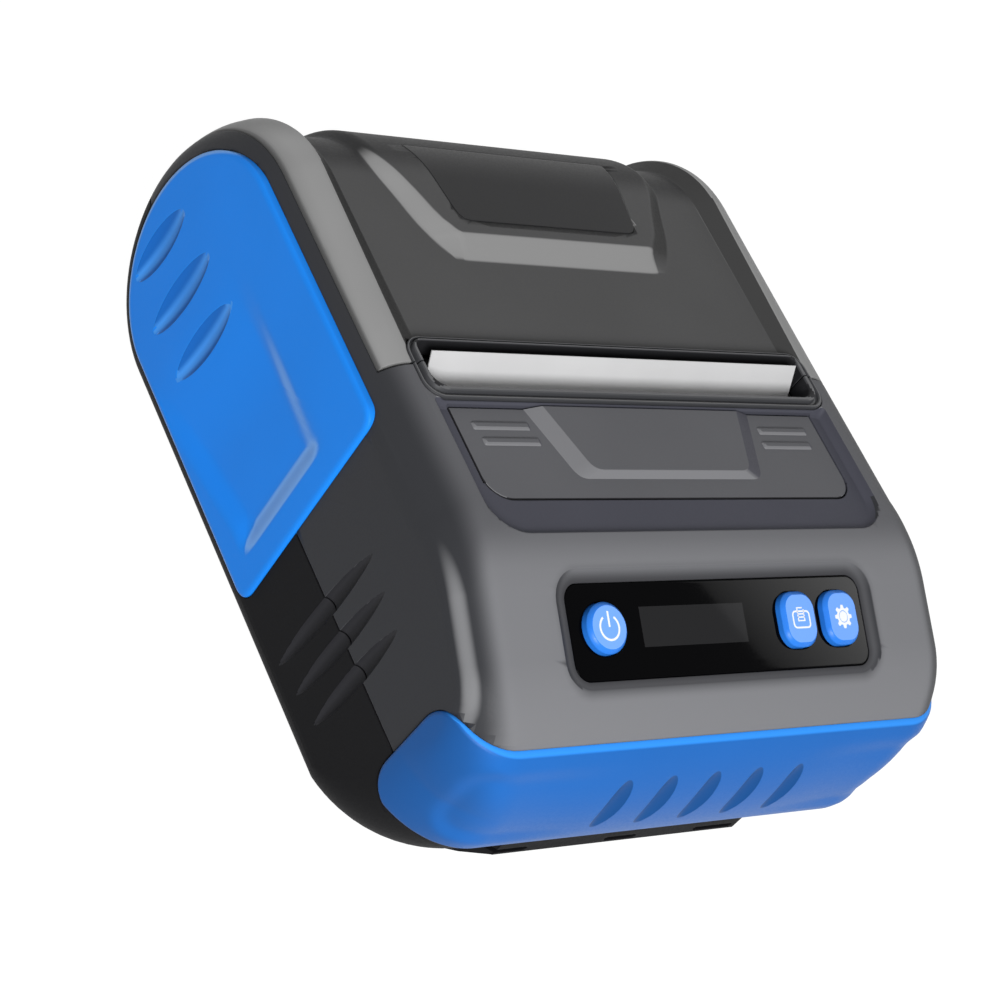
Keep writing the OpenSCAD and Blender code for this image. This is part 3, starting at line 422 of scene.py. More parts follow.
# outline of a side plate, y and z, going round from the lower front corner
def plateOutline(inset):
    c, p = caseShape, plateShape
    arcSteps, edgeSteps, cornerSpan, evenSpan = 64, 40, 6, 12
    lean = p["lean"] / (c["height"] - c["footHeight"])
    frontAt = lambda z: p["front"] + inset * math.sqrt(1 + lean * lean) + lean * (z - c["footHeight"])
    gap = p["inset"] + inset
    top, low = c["height"] - gap, c["footHeight"] + gap
    back = []
    for arc in (ovalArc(backCentre, c["backRadius"], c["backZ"] - c["footHeight"], -90, 0, arcSteps),
                ovalArc(backCentre, c["backRadius"], c["height"] - c["backZ"], 0, 90, arcSteps)[1:]):
        back += [(y - ny * gap, z - nz * gap) for y, z, ny, nz in arc]
    lowY, topY = frontAt(low), frontAt(top)
    between = lambda a, b, i: a + (b - a) * i / edgeSteps
    bottom = [(between(lowY, back[0][0], i), low) for i in range(edgeSteps)]
    upper = [(between(back[-1][0], topY, i), top) for i in range(1, edgeSteps + 1)]
    front = [(between(topY, lowY, i), between(top, low, i)) for i in range(1, edgeSteps)]
    ring = bottom + back + upper + front
    # the two front corners are rounded, keeping the count of points
    for at in (0, len(bottom + back + upper) - 1):
        radius = max(0.2, p["corner"] - inset)
        corner, before, after = (Vector(ring[i % len(ring)]) for i in (at, at - evenSpan, at + evenSpan))
        a, b = (corner + (way - corner).normalized() * radius for way in (before, after))
        for k in range(-cornerSpan, cornerSpan + 1):
            t = (k + cornerSpan) / (2 * cornerSpan)
            ring[(at + k) % len(ring)] = tuple((1 - t) ** 2 * a + 2 * t * (1 - t) * corner + t * t * b)
        for k in range(1, evenSpan - cornerSpan):
            share = k / (evenSpan - cornerSpan)
            ring[at - cornerSpan - k] = tuple(a.lerp(before, share))
            ring[(at + cornerSpan + k) % len(ring)] = tuple(b.lerp(after, share))
    return ring


def plateCutter(side, gap):
    x = caseShape["halfWidth"] + plateShape["proud"] - plateShape["thick"] - gap
    return prism(plateOutline(-gap), "x", *sorted((side * x, side * farX)))


bumperShape = {
    "low": 16.2, "high": 39.4, "end": -48.4, "corner": 6.0, "thick": 1.7, "proud": 0.5,
    "soft": 0.8, "lip": 0.3,  # width of the rounded edge, and how far it ends below the case
    "pitch": 9.4, "groove": (26.0, 4.2, 1.2), "grooveLift": 1.4, "grooveLean": (0, 0.0698, 0.9976),
    "dishReach": 51.0, "dishLow": 18.6, "dishHigh": 37.4, "dishWall": 3.6, "dishDepth": 0.8,
    "dishFade": (16.0, 38.0), "dishCorner": 7.0,
}


def bumperCutter(gap):
    b = bumperShape
    radii = (b["corner"], 0.5, 0.5, b["corner"])
    ring = roundRect(-80, b["end"] + gap, b["low"] - gap, b["high"] + gap, radii, 12)
    return cut(prism(ring, "x", -farX, farX), caseBlob(b["thick"] - b["proud"] + caseShape["fit"]))


# points of the display's own plane, x across and y up the slope, lifted by z
def onSlope(points, z):
    return [(x, lensCentre[0] + y * math.cos(tilt) - z * math.sin(tilt),
             lensCentre[1] + y * math.sin(tilt) + z * math.cos(tilt)) for x, y in points]


# rounded pad on the slope; layers are (z, growth) pairs
def slopePad(width, length, radius, layers, centre=(0, 0), steps=8):
    cx, cy = centre
    rings = []
    x, y = width / 2, length / 2
    for z, grow in layers:
        sides = (cx - x - grow, cx + x + grow, cy - y - grow, cy + y + grow)
        rings.append(onSlope(roundRect(*sides, max(0.05, radius + grow), steps), z))
    return loft(rings)


print("case outline ready")


# finishes: sets sockets by value, or joins them where the value is another node's output
def feed(tree, node, values):
    for label, value in values.items():
        if isinstance(value, bpy.types.NodeSocket):
            tree.links.new(value, node.inputs[label])
        else:
            node.inputs[label].default_value = value
    return node


def addNode(tree, kind, values={}, **settings):
    node = tree.nodes.new("ShaderNode" + kind)
    for label, value in settings.items():
        setattr(node, label, value)
    return feed(tree, node, values)


def calc(tree, operation, *values):
    return addNode(tree, "Math", dict(enumerate(values)), operation=operation).outputs[0]


# a * b + c * d, one product at a time
def sumOf(tree, a, b, c, d):
    return calc(tree, "ADD", calc(tree, "MULTIPLY", a, b), calc(tree, "MULTIPLY", c, d))


def lengthOf(tree, a, b):
    return calc(tree, "SQRT", sumOf(tree, a, a, b, b))


def mixColour(tree, factor, first, second):
    first, second = [c if isinstance(c, bpy.types.NodeSocket) else (*c, 1) for c in (first, second)]
    return addNode(tree, "Mix", {"Factor": factor, 6: first, 7: second}, data_type="RGBA").outputs[2]


# spreads the middle of a noise over low to high
def spread(tree, value, low, high):
    limits = {"From Min": 0.3, "From Max": 0.7, "To Min": low, "To Max": high}
    return addNode(tree, "MapRange", {"Value": value, **limits}).outputs[0]


def newGroup(name, inputs, outputs):
    group = bpy.data.node_groups.new(name, "ShaderNodeTree")
    for label, value in inputs.items():
        socket = group.interface.new_socket(name=label, in_out="INPUT", socket_type="NodeSocketFloat")
        socket.default_value = value
    for label in outputs:
        group.interface.new_socket(name=label, in_out="OUTPUT", socket_type="NodeSocketFloat")
    return group, group.nodes.new("NodeGroupInput").outputs, group.nodes.new("NodeGroupOutput")


# the object's own coordinates or normal as x, y and z
def splitOf(tree, output="Object"):
    coords = addNode(tree, "TexCoord")
    return addNode(tree, "SeparateXYZ", {0: coords.outputs[output]}).outputs


# fine moulded grain, slow clouding and sparse dust specks, in the object's own metres
def mouldGrainGroup():
    group, given, out = newGroup("mould grain", {"Grain": 2600.0, "Cloud": 28.0}, ["Fine", "Soft", "Specks"])
    at = addNode(group, "TexCoord").outputs["Object"]
    fine = addNode(group, "TexNoise", {"Vector": at, "Scale": given["Grain"], "Detail": 2.0})
    soft = addNode(group, "TexNoise", {"Vector": at, "Scale": given["Cloud"], "Detail": 3.0})
    specks = addNode(group, "TexVoronoi", {"Vector": at, "Scale": 900.0})
    dots = calc(group, "LESS_THAN", specks.outputs["Distance"], 0.07)
    feed(group, out, {"Fine": fine.outputs["Fac"], "Soft": soft.outputs["Fac"], "Specks": dots})
    return group


# lines drawn out along x, for turned and brushed metal and for the roller
def drawnLinesGroup():
    group, given, out = newGroup("drawn lines", {"Across": 3000.0, "Along": 60.0}, ["Lines"])
    split = splitOf(group)
    scales = [given["Along"], given["Across"], given["Across"]]
    stretched = [calc(group, "MULTIPLY", at, scale) for at, scale in zip(split, scales)]
    build = addNode(group, "CombineXYZ", dict(enumerate(stretched)))
    lines = addNode(group, "TexNoise", {"Vector": build.outputs[0], "Scale": 1.0, "Detail": 2.0})
    feed(group, out, {"Lines": lines.outputs["Fac"]})
    return group


# rings round an axis along x through (Y, Z): the layers of a wound roll
def woundRingsGroup():
    group, given, out = newGroup("wound rings", {"Y": 0.036, "Z": 0.028, "Pitch": 0.00045}, ["Rings"])
    deep, high = splitOf(group)[1:]
    away = [calc(group, "SUBTRACT", at, given[axis]) for at, axis in ((deep, "Y"), (high, "Z"))]
    far = lengthOf(group, *away)
    feed(group, out, {"Rings": calc(group, "PINGPONG", calc(group, "DIVIDE", far, given["Pitch"]), 0.5)})
    return group


# how far a face leans towards a direction of the object itself, the mask for painted light and shade;
# Mirror 1 takes both sides alike
def facingGroup():
    inputs = {"X": 0.0, "Y": -1.0, "Z": 0.0, "From": 0.1, "To": 0.34, "Mirror": 0.0}
    group, given, out = newGroup("facing", inputs, ["Mask"])
    across, deep, up = splitOf(group, "Normal")
    folded = calc(group, "SUBTRACT", calc(group, "ABSOLUTE", across), across)
    extra = calc(group, "MULTIPLY", folded, given["Mirror"])
    total = calc(group, "MULTIPLY", calc(group, "ADD", across, extra), given["X"])
    total = calc(group, "MULTIPLY_ADD", deep, given["Y"], total)
    total = calc(group, "MULTIPLY_ADD", up, given["Z"], total)
    ramp = {"Value": total, "From Min": given["From"], "From Max": given["To"]}
    feed(group, out, {"Mask": addNode(group, "MapRange", ramp, interpolation_type="SMOOTHSTEP").outputs[0]})
    return group


# on the plane of the display: Screen is the unlit screen, and a second mask is painted shade round the glass,
# fading out
def displayFieldGroup():
    l = lensShape
    group, given, out = newGroup("display field", {"Reach": 0.0034}, ["Screen", "PaintedShade"])
    across, deep, high = splitOf(group)
    deep = calc(group, "SUBTRACT", deep, lensCentre[0] * mm)
    high = calc(group, "SUBTRACT", high, lensCentre[1] * mm)
    up = sumOf(group, deep, math.cos(tilt), high, math.sin(tilt))

    def past(value, middle, half):
        away = calc(group, "ABSOLUTE", calc(group, "SUBTRACT", value, middle * mm))
        return calc(group, "SUBTRACT", away, half * mm)

    x, y, wide, long = l["screen"]
    gaps = (past(across, x, wide / 2), past(up, y, long / 2))
    inside = [calc(group, "LESS_THAN", gap, 0.0) for gap in gaps]
    outside = [calc(group, "MAXIMUM", past(value, 0, l[side] / 2 - l["corner"]), 0.0)
               for value, side in ((across, "width"), (up, "length"))]
    far = calc(group, "SUBTRACT", lengthOf(group, *outside), l["corner"] * mm)
    fade = {"Value": far, "From Max": given["Reach"], "To Min": 1.0, "To Max": 0.0}
    near = addNode(group, "MapRange", fade, interpolation_type="SMOOTHSTEP").outputs[0]
    feed(group, out, {"Screen": calc(group, "MULTIPLY", *inside), "PaintedShade": near})
    return group


mouldGrain = mouldGrainGroup()
drawnLines = drawnLinesGroup()
woundRings = woundRingsGroup()
facing = facingGroup()
displayField = displayFieldGroup()


# one finish: colour, roughness and what varies them;
# the tones are painted light and shade, as (direction, from, to, mirror, colour) laid where a face leans that
# way
def finish(name, colour, roughness, metal=0.0, vary=0.05, roughVary=0.05, level=0.1, grain=2600.0, cloud=28.0,
           bump=0.12, depth=0.00002, edge=0.0003, lines=None, specks=0.0, paintedLightTones=()):
    material = bpy.data.materials.new(name)
    material.use_nodes = True
    tree = material.node_tree
    grained = addNode(tree, "Group", {"Grain": grain, "Cloud": cloud}, node_tree=mouldGrain).outputs
    scaled = lambda share, more=0.0: [min(1, c * share + more) for c in colour]
    base = mixColour(tree, spread(tree, grained["Soft"], 0, 1), scaled(1 - vary), scaled(1 + vary))
    height = grained["Fine"]
    if lines:
        drawn = addNode(tree, "Group", {"Across": lines[0], "Along": lines[1]}, node_tree=drawnLines)
        height = drawn.outputs["Lines"]
        base = mixColour(tree, spread(tree, height, 0, 1), scaled(0.86), base)
    if specks:
        base = mixColour(tree, calc(tree, "MULTIPLY", grained["Specks"], specks), base, scaled(1.8, 0.03))
    for direction, low, high, mirror, tone in paintedLightTones:
        lean = dict(zip(("X", "Y", "Z", "From", "To", "Mirror"), (*direction, low, high, mirror)))
        base = mixColour(tree, addNode(tree, "Group", lean, node_tree=facing).outputs["Mask"], base, tone)
    relief = addNode(tree, "Bump", {"Strength": bump, "Distance": depth, "Height": height})
    if edge:
        rounded = addNode(tree, "Bevel", {"Radius": edge}, samples=4)
        feed(tree, relief, {"Normal": rounded.outputs[0]})
    feed(tree, tree.nodes["Principled BSDF"], {
        "Base Color": base, "Metallic": metal, "Specular IOR Level": level, "Normal": relief.outputs[0],
        "Roughness": spread(tree, height, roughness - roughVary, roughness + roughVary)})
    looks[name] = material


# lays one of the groups' masks over a finish; turned swaps what it leaves and what it paints
def tint(name, group, output, colour, share=None, turned=False):
    tree = looks[name].node_tree
    base = tree.nodes["Principled BSDF"].inputs["Base Color"]
    plain = base.links[0].from_socket
    mask = addNode(tree, "Group", node_tree=group).outputs[output]
    if share:
        mask = calc(tree, "MULTIPLY", mask, share)
    pair = (colour, plain) if turned else (plain, colour)
    tree.links.new(mixColour(tree, mask, *pair), base)


forward, rearward, rightward, upward, downward = (0, -1, 0), (0, 1, 0), (1, 0, 0), (0, 0, 1), (0, 0, -1)
# way the painted light on the cover and the release panel comes from
leftFront = (-0.6, -0.8, 0)
# painted tones for the case: a lit face and shaded sides
litFacePaint, midFace, shadedSidePaint = (0.180, 0.182, 0.193), (0.112, 0.113, 0.122), (0.031, 0.032, 0.036)
# painted light where faces lean forward, painted shade on the straight front and the sides, a painted
# highlight on the left corner
finish("caseGrey", midFace, 0.5, specks=0.12, level=0.12, paintedLightTones=(
    (forward, 0.1, 0.32, 0, litFacePaint), (forward, 0.80, 0.99, 0, (0.090, 0.091, 0.097)),
    (rightward, 0.03, 0.4, 0, (0.10, 0.101, 0.108)), (rightward, 0.04, 0.68, 1, shadedSidePaint),
    ((-0.86, -0.29, 0.42), 0.955, 1.0, 0, (0.20, 0.202, 0.21))))
# painted shade: one dark grey inside the side grooves, darker than the grey upper case and used on the black
# lower case too
finish("grooveShadeGrey", (0.020, 0.020, 0.023), 0.5)
finish("trayGrey", (0.062, 0.063, 0.080), 0.55)
finish("caseBlack", (0.0085, 0.0085, 0.0095), 0.55, vary=0.08, level=0.05)
# cover: painted light on faces leaning to the left front, painted shade on faces leaning right and back
finish("coverGrey", (0.078, 0.078, 0.079), 0.52, vary=0.06, grain=2200, bump=0.2, specks=0.15, paintedLightTones=(
    (leftFront, 0.07, 0.2, 0, (0.27, 0.27, 0.27)), (rightward, 0.12, 0.3, 0, (0.03, 0.03, 0.03)),
    (rearward, 0.0, 0.3, 0, (0.030, 0.030, 0.031))))
# rails painted far paler than the cover, a painted highlight; painted shade where they lean forward and to
# the sides, painted light where they lean back
finish("railHighlightGrey", (0.285, 0.285, 0.285), 0.48, vary=0.04, level=0.12, paintedLightTones=(
    (forward, 0.03, 0.15, 0, (0.215, 0.215, 0.215)), (rearward, 0.02, 0.3, 0, (0.36, 0.36, 0.36)),
    (rightward, 0.5, 1, 1, (0.16, 0.16, 0.16))))
# painted shade: the dark walls beside the rails, darker still where they face right
finish("railWallShade", (0.05, 0.05, 0.05), 0.5, vary=0.04, paintedLightTones=(
    (rightward, 0.1, 0.4, 0, (0.012, 0.012, 0.012)),))
# side plates: painted light on faces leaning back and down, painted shade on faces turned down
finish("blueTrim", (0.010, 0.235, 0.86), 0.42, vary=0.04, level=0.15, bump=0.05, paintedLightTones=(
    ((0, 0.9, -0.4), 0.05, 0.2, 0, (0.20, 0.47, 1.0)), (downward, 0.45, 0.9, 0, (0.010, 0.12, 0.45))))
# bumper: painted shade on faces leaning left and down, a painted highlight on the faces along its top
finish("blueBumper", (0.010, 0.118, 0.43), 0.42, vary=0.04, level=0.15, bump=0.05, paintedLightTones=(
    ((-1, 0, -0.6), 0.1, 0.8, 0, (0.009, 0.085, 0.30)), (upward, 0.62, 0.85, 0, (0.030, 0.27, 0.85))))
# scoops: a paler blue than the plates, painted light, with painted shade on the walls facing back and front
finish("blueScoop", (0.060, 0.31, 0.86), 0.42, vary=0.04, level=0.14, bump=0.05, paintedLightTones=(
    (rearward, 0.08, 0.5, 0, (0.008, 0.13, 0.50)), (forward, 0.12, 0.5, 0, (0.008, 0.12, 0.45))))
# painted shade inside the bumper's grooves
finish("blueGrooveShade", (0.007, 0.068, 0.24), 0.42, vary=0.04, level=0.14, bump=0.05)
finish("blueKey", (0.022, 0.19, 0.72), 0.34, vary=0.03, level=0.2, bump=0.04, edge=0.0002)
finish("keyFace", (0.17, 0.38, 0.95), 0.45, vary=0.02, level=0.15, bump=0.03, edge=0.0)
finish("iconWhite", (0.86, 0.88, 0.92), 0.5, vary=0.02, level=0.3, edge=0.0)
# release panel: painted light on faces leaning to the left front, painted shade on faces leaning right
finish("panelGrey", midFace, 0.52, edge=0.0, specks=0.12, paintedLightTones=(
    (leftFront, 0.1, 0.22, 0, (0.185, 0.186, 0.196)), (rightward, 0.1, 0.25, 0, (0.07, 0.07, 0.085))))
# bezel: a painted highlight on the upward tops of its lips
finish("bezelGrey", (0.045, 0.046, 0.050), 0.4, level=0.18, edge=0.00015, paintedLightTones=(
    (upward, 0.86, 0.99, 0, (0.125, 0.126, 0.131)),))
# painted shade: near-black inside the paper slot and on the release panel's sides in its seam
finish("slotShade", (0.018, 0.018, 0.020), 0.5)
# window: painted shade on faces leaning back
finish("windowBlack", (0.026, 0.026, 0.027), 0.36, vary=0.06, bump=0.05, paintedLightTones=(
    (rearward, 0.2, 0.7, 0, (0.012, 0.012, 0.012)),))
finish("batteryBlack", (0.008, 0.008, 0.009), 0.55, vary=0.08, level=0.05)
finish("tubBlack", (0.02, 0.02, 0.022), 0.5, vary=0.1, level=0.3)
finish("boardGreen", (0.012, 0.12, 0.045), 0.35, vary=0.18, cloud=160, bump=0.05, level=0.3)
finish("steel", (0.55, 0.55, 0.56), 0.28, metal=1.0, vary=0.1, lines=(3400.0, 40.0), bump=0.08, level=0.3)
finish("aluminium", (0.63, 0.64, 0.65), 0.33, metal=1.0, vary=0.1, lines=(1500.0, 30.0), level=0.3)
finish("brass", (0.70, 0.50, 0.20), 0.26, metal=1.0, vary=0.1, lines=(2600.0, 60.0), bump=0.08, level=0.3)
finish("gold", (0.82, 0.60, 0.24), 0.2, metal=1.0, vary=0.1, bump=0.03, level=0.3)
finish("ceramic", (0.72, 0.66, 0.50), 0.4, level=0.3)
finish("gearWhite", (0.74, 0.72, 0.65), 0.42, vary=0.03, level=0.3)
finish("rollerBlack", (0.022, 0.022, 0.022), 0.62, vary=0.1, lines=(500.0, 2400.0), bump=0.25, level=0.15)
finish("rubberBlack", (0.028, 0.028, 0.028), 0.75, vary=0.1, bump=0.3, depth=0.00004, level=0.15)
finish("screenDark", (0.009, 0.0093, 0.010), 0.10, roughVary=0.02, bump=0.01, edge=0.0, level=0.3)
finish("lensBlack", (0.0011, 0.0011, 0.0014), 0.035, vary=0.1, roughVary=0.01, level=0.02, bump=0.01,
       edge=0.0002)
# the strip's paper is darker than the same stock on the roll: painted shade
finish("paper", (0.56, 0.56, 0.565), 0.82, vary=0.03, grain=5200, cloud=90, bump=0.18, edge=0.0, level=0.25)
finish("rollPaper", (0.74, 0.74, 0.73), 0.8, vary=0.04, bump=0.15, edge=0.0, level=0.3)
finish("coreCard", (0.42, 0.31, 0.19), 0.85, vary=0.04, bump=0.15, edge=0.0, level=0.3)
# the unlit screen shows in the glass as a fainter field, and shade is painted on the case round the glass
tint("lensBlack", displayField, "Screen", (0.018, 0.018, 0.019))
tint("caseGrey", displayField, "PaintedShade", (0.018, 0.018, 0.021), 0.85)
tint("rollPaper", woundRings, "Rings", (0.55, 0.54, 0.52), 1.1, turned=True)
tint("coreCard", woundRings, "Rings", (0.30, 0.21, 0.12), 1.1, turned=True)
print("finishes ready")


# leaf grooves in the sides of the case, in a row in front of the paper slot
grooveShape = {"count": 3, "top": 37.6, "bottom": 8.0, "overParting": 1.5, "width": 3.4, "depth": 1.3,
               "first": 23.2, "pitch": 6.2, "zoneY": (-40, -18), "zoneZ": (6, 39)}


def grooveRow(side, low):
    c, g = caseShape, grooveShape
    made = []
    for i in range(g["count"]):
        top, bottom = g["top"] - i, (g["bottom"] + i if low else c["partingZ"] + g["overParting"])
        centre = (side * c["halfWidth"], c["slotY"] - g["first"] - g["pitch"] * i, (top + bottom) / 2)
        made.append(lensGroove(centre, (top - bottom, g["width"], g["depth"]), side=(side, 0, 0)))
    return made


# a face a little below the side's skin, in the stretch of the grooves
def inGrooves(at):
    g, deep = grooveShape, caseShape["halfWidth"] - abs(at.x)
    inZone = g["zoneY"][0] < at.y < g["zoneY"][1] and g["zoneZ"][0] < at.z < g["zoneZ"][1]
    return inZone and 0.03 < deep < g["depth"] + 0.3


def coverRoom(gap):
    c = caseShape
    half = c["coverHalf"] + gap
    return [boxSolid(-half, half, c["slotY"] - gap, farY, c["hinge"][1], farZ),
            tube(c["hingeSweep"] + gap, half, c["hinge"], 64)]


trayShape = {
    "floor": 53.3, "half": 42.6, "front": -30.6, "back": -6.0, "corner": 6.5, "rearCorner": 0.6,
    "sides": ((0, -0.9), (0.25, -0.35), (0.8, 0.0), (1.9, 0.5)),  # (height, growth)
    "panelHalf": 39.6, "panelFront": -23.7, "panelBack": -6.5, "panelThick": 2.0, "panelCorner": 4.6,
    "ledge": 2.9, "openingFloor": 30,
}


# height of the case's surface at y, on the middle plane
def caseTop(y):
    over = max(0.0, blendCentre[0] - y)
    turn = math.asin(min(math.sin(tilt), over / caseShape["blendRadius"]))
    rest = max(0.0, over - caseShape["blendRadius"] * math.sin(tilt))
    return caseShape["height"] - caseShape["blendRadius"] * (1 - math.cos(turn)) - rest * math.tan(tilt)


# sunken tray round the release panel, the panel's recess and the opening under it
def trayCutters():
    t, gap = trayShape, caseShape["seam"]
    radii = (t["rearCorner"], t["rearCorner"], t["corner"], t["corner"])
    rings = []
    for height, grow in t["sides"]:
        sides = (-t["half"] - grow, t["half"] + grow, t["front"] - grow, t["back"] + grow)
        rings.append(onAxis(roundRect(*sides, radii, 10), "z", t["floor"] + height))
    half, front, back = t["panelHalf"] + gap, t["panelFront"] - gap, t["panelBack"] + gap
    recess = roundRect(-half, half, front, back, (0.4, 0.4, t["panelCorner"], t["panelCorner"]), 10)
    return [loft(rings), prism(recess, "z", t["floor"] - t["panelThick"] - gap, farZ),
            boxSolid(-half, half, t["panelFront"] + t["ledge"], back, t["openingFloor"], farZ)]


# soft dish round the display, its pocket and the opening behind it
def displayCutters():
    l = lensShape
    under = -l["drop"] - l["thick"] - 0.1
    return [slopePad(l["width"], l["length"], l["fieldCorner"], ((-l["drop"], 0.6), *l["fieldSides"])),
            slopePad(l["width"] + 0.2, l["length"] + 0.2, l["fieldCorner"], ((under, 0), (1, 0))),
            slopePad(l["width"] - 1.2, l["length"] - 2, 2, ((-12, 0), (1, 0)))]


# a face of the tray: below the case's own surface and within the tray's outline
def inTray(at):
    t = trayShape
    if abs(at.x) > t["half"] + 0.3 or not t["front"] - 0.9 < at.y < t["back"] + 0.3 or at.z < 50:
        return False
    side, fore = abs(at.x) - (t["half"] - t["corner"]), (t["front"] + t["corner"]) - at.y
    beyondCorner = side > 0 and fore > 0 and math.hypot(side, fore) > t["corner"] + 0.1
    return not beyondCorner and at.z < caseTop(at.y) - edgeDrop(at.x, 0, 1) - 0.12


def upperCase():
    c = caseShape
    shell = cut(caseBlob(0), hollow())
    below = boxSolid(*halfSpace, -5, c["partingZ"] + c["seam"] / 2)
    cut(shell, below, *coverRoom(c["seam"] + c["coverSlack"]))
    join(shell, innerParts("upper_case"))
    cut(shell, *trayCutters(), bezelCutter(bezelShape["caseFloor"]), *displayCutters())
    for side in (-1, 1):
        cut(shell, plateCutter(side, c["fit"]), *grooveRow(side, side < 0))
    cut(shell, bumperCutter(c["fit"]))
    # groove faces take the painted groove shade
    zone = lambda at, out: 1 if inTray(at) else 2 if inGrooves(at) else 0
    place(shell, "upper_case", ("caseGrey", "trayGrey", "grooveShadeGrey"), "case", pick=zone)


upperCase()
print("upper case built")

# openings of the lower shell
baseShape = {
    "bayHalf": 33.0, "bayFront": -58.6, "bayBack": -4.6, "bayTop": 11.8, "bayGap": 0.4,
    # half width, way behind the bay, z from and to
    "latchRoom": (7.4, 8.4, -1, 4.7), "latchRails": (9.8, 9, 3.7, 5.5),
    # depth in the right side, y from and to, z from and to
    "flapSeat": (1.2, -40.2, -23.8, 9.8, 19.2), "socketHole": (6, -36.7, -27.3, 12.7, 16.3),
    # radius and top of each hole
    "screwX": 42, "screwY": (-44.0, 3.1), "screwHole": (1.35, 23), "screwHead": (2.4, 5.1),
    "footX": 37.5, "footY": (-30.0, 39.0), "footSeat": (4.1, 2.3),
    "stayHalf": 3.8, "stayReach": (9, 2.5),
}


def lowerCase():
    c, b = caseShape, baseShape
    above = boxSolid(*halfSpace, c["partingZ"] - c["seam"] / 2, 80)
    shell = cut(caseBlob(0), hollow(), above)
    join(shell, innerParts("lower_case"))
    hingeY, hingeZ = c["hinge"]
    behind, before = b["stayReach"]
    # room for the cover, but for the two stays of the hinge
    for room in coverRoom(c["seam"]):
        for x in (-c["stayX"], c["stayX"]):
            stay = (x - b["stayHalf"], x + b["stayHalf"], hingeY - behind, hingeY + before, -1, hingeZ + 9)
            cut(room, boxSolid(*stay))
        cut(shell, room)
    half, gap, back = b["bayHalf"] + b["bayGap"], b["bayGap"], b["bayBack"]
    cut(shell, tube(c["pinHole"], c["pinHalf"], c["hinge"], 32),
        boxSolid(-half, half, b["bayFront"] - gap, back + gap, -5, b["bayTop"] + gap))
    for half, reach, low, high in (b["latchRoom"], b["latchRails"]):
        cut(shell, boxSolid(-half, half, back - 1, back + reach, low, high))
    for depth, y0, y1, z0, z1 in (b["flapSeat"], b["socketHole"]):
        cut(shell, boxSolid(c["halfWidth"] - depth, farX, y0, y1, z0, z1))
    for side in (-1, 1):
        for y in b["screwY"]:
            for radius, top in (b["screwHole"], b["screwHead"]):
                cut(shell, pillar(radius, side * b["screwX"], y, top))
        for y in b["footY"]:
            cut(shell, pillar(b["footSeat"][0], side * b["footX"], y, b["footSeat"][1]))
        cut(shell, plateCutter(side, c["fit"]))
    cut(shell, *grooveRow(-1, True), bumperCutter(c["fit"]))
    place(shell, "lower_case", ("caseBlack", "grooveShadeGrey"), "case",
          pick=lambda at, out: int(at.x < 0 and inGrooves(at)))


lowerCase()
print("lower case built")

# shallow field on the side plates
fieldShape = {"front": -3.6, "low": 10.6, "high": 37.6, "wall": 4.6, "depth": 1.3, "corner": 3.0,
              "fade": (12.0, 36.0), "frontLean": 0.055, "highLean": 0.035, "lowLean": 0.19}


def fieldDepth(y, z):
    f = fieldShape
    front = y - (f["front"] + f["frontLean"] * (z - 24))
    high = f["high"] + f["highLean"] * (y - f["front"]) - z
    low = z - (f["low"] - f["lowLean"] * max(0, y - 2))
    inside = min(front, high, low)
    if inside < f["corner"]:
        inside = f["corner"] - math.sqrt(sum(max(0.0, f["corner"] - v) ** 2 for v in (front, high, low)))
    return f["depth"] * smoothstep(0, f["wall"], inside) * (1 - smoothstep(*f["fade"], y))


# side plate: a face with rounded edges and a shallow field, thumb scoops cut in
def sidePlate(side, node):
    c, p = caseShape, plateShape
    outer = c["halfWidth"] + p["proud"]
    inner = outer - p["thick"]
    shrunk = lambda y, z, share: [middle + (v - middle) * share for v, middle in zip((y, z), p["middle"])]
    # back face first, then up the side, over the rounded edge and in across the face
    rings = [[(inner, *shrunk(y, z, share)) for y, z in plateOutline(0)] for share in (0.3, 0.75, 1.0)]
    for k in range(7):
        angle = math.radians(15 * k)
        x = outer - p["round"] * (1 - math.sin(angle))
        rings.append([(x, y, z) for y, z in plateOutline(p["roundWidth"] * (1 - math.cos(angle)))])
    last, fine, coarse = plateOutline(p["roundWidth"]), 0.012, 0.0215
    shares = [1 - fine * k for k in range(1, 12)]
    shares += [shares[-1] - coarse * k for k in range(1, 40)]
    for share in shares:
        ring = [shrunk(y, z, share) for y, z in last]
        rings.append([(outer - fieldDepth(y, z), y, z) for y, z in ring])
    plate = loft([[(side * x, y, z) for x, y, z in ring] for ring in rings])
    first = c["halfLength"] - p["scoopFromBack"]
    scoops = [(first - p["scoopPitch"] * i, (length, p["scoopWidth"], p["scoopDepth"]))
              for i, length in enumerate(p["scoops"])]
    for y, size in scoops:
        cut(plate, lensGroove((side * outer, y, p["scoopZ"]), size, side=(side, 0, 0)))

    def inScoop(at, out):
        for y, size in scoops:
            away, up = abs(at.y - y), at.z - p["scoopZ"]
            half = grooveHalf(up, size)
            if abs(up) < size[0] / 2 and away < half + 0.15:
                return int(abs(at.x) > inner + 0.1 and (abs(out.x) < 0.93 or away < half * 0.6))
        return 0

    place(plate, node, ("blueTrim", "blueScoop"), "case", pick=inScoop)


sidePlate(-1, "side_plate_left")
sidePlate(1, "side_plate_right")
print("side plates built")

noseOutline = [p for p in fineOutline if p[0] < -24.0]


# y of the case front at height z and place x, shrunk by inset
def frontAt(x, z, inset):
    found = []
    points = ringAt(x, inset, noseOutline)
    for (_, y0, z0), (_, y1, z1) in zip(points, points[1:]):
        if (z0 - z) * (z1 - z) <= 0 and abs(z1 - z0) > 1e-9:
            found.append(y0 + (y1 - y0) * (z - z0) / (z1 - z0))
    return min(found)


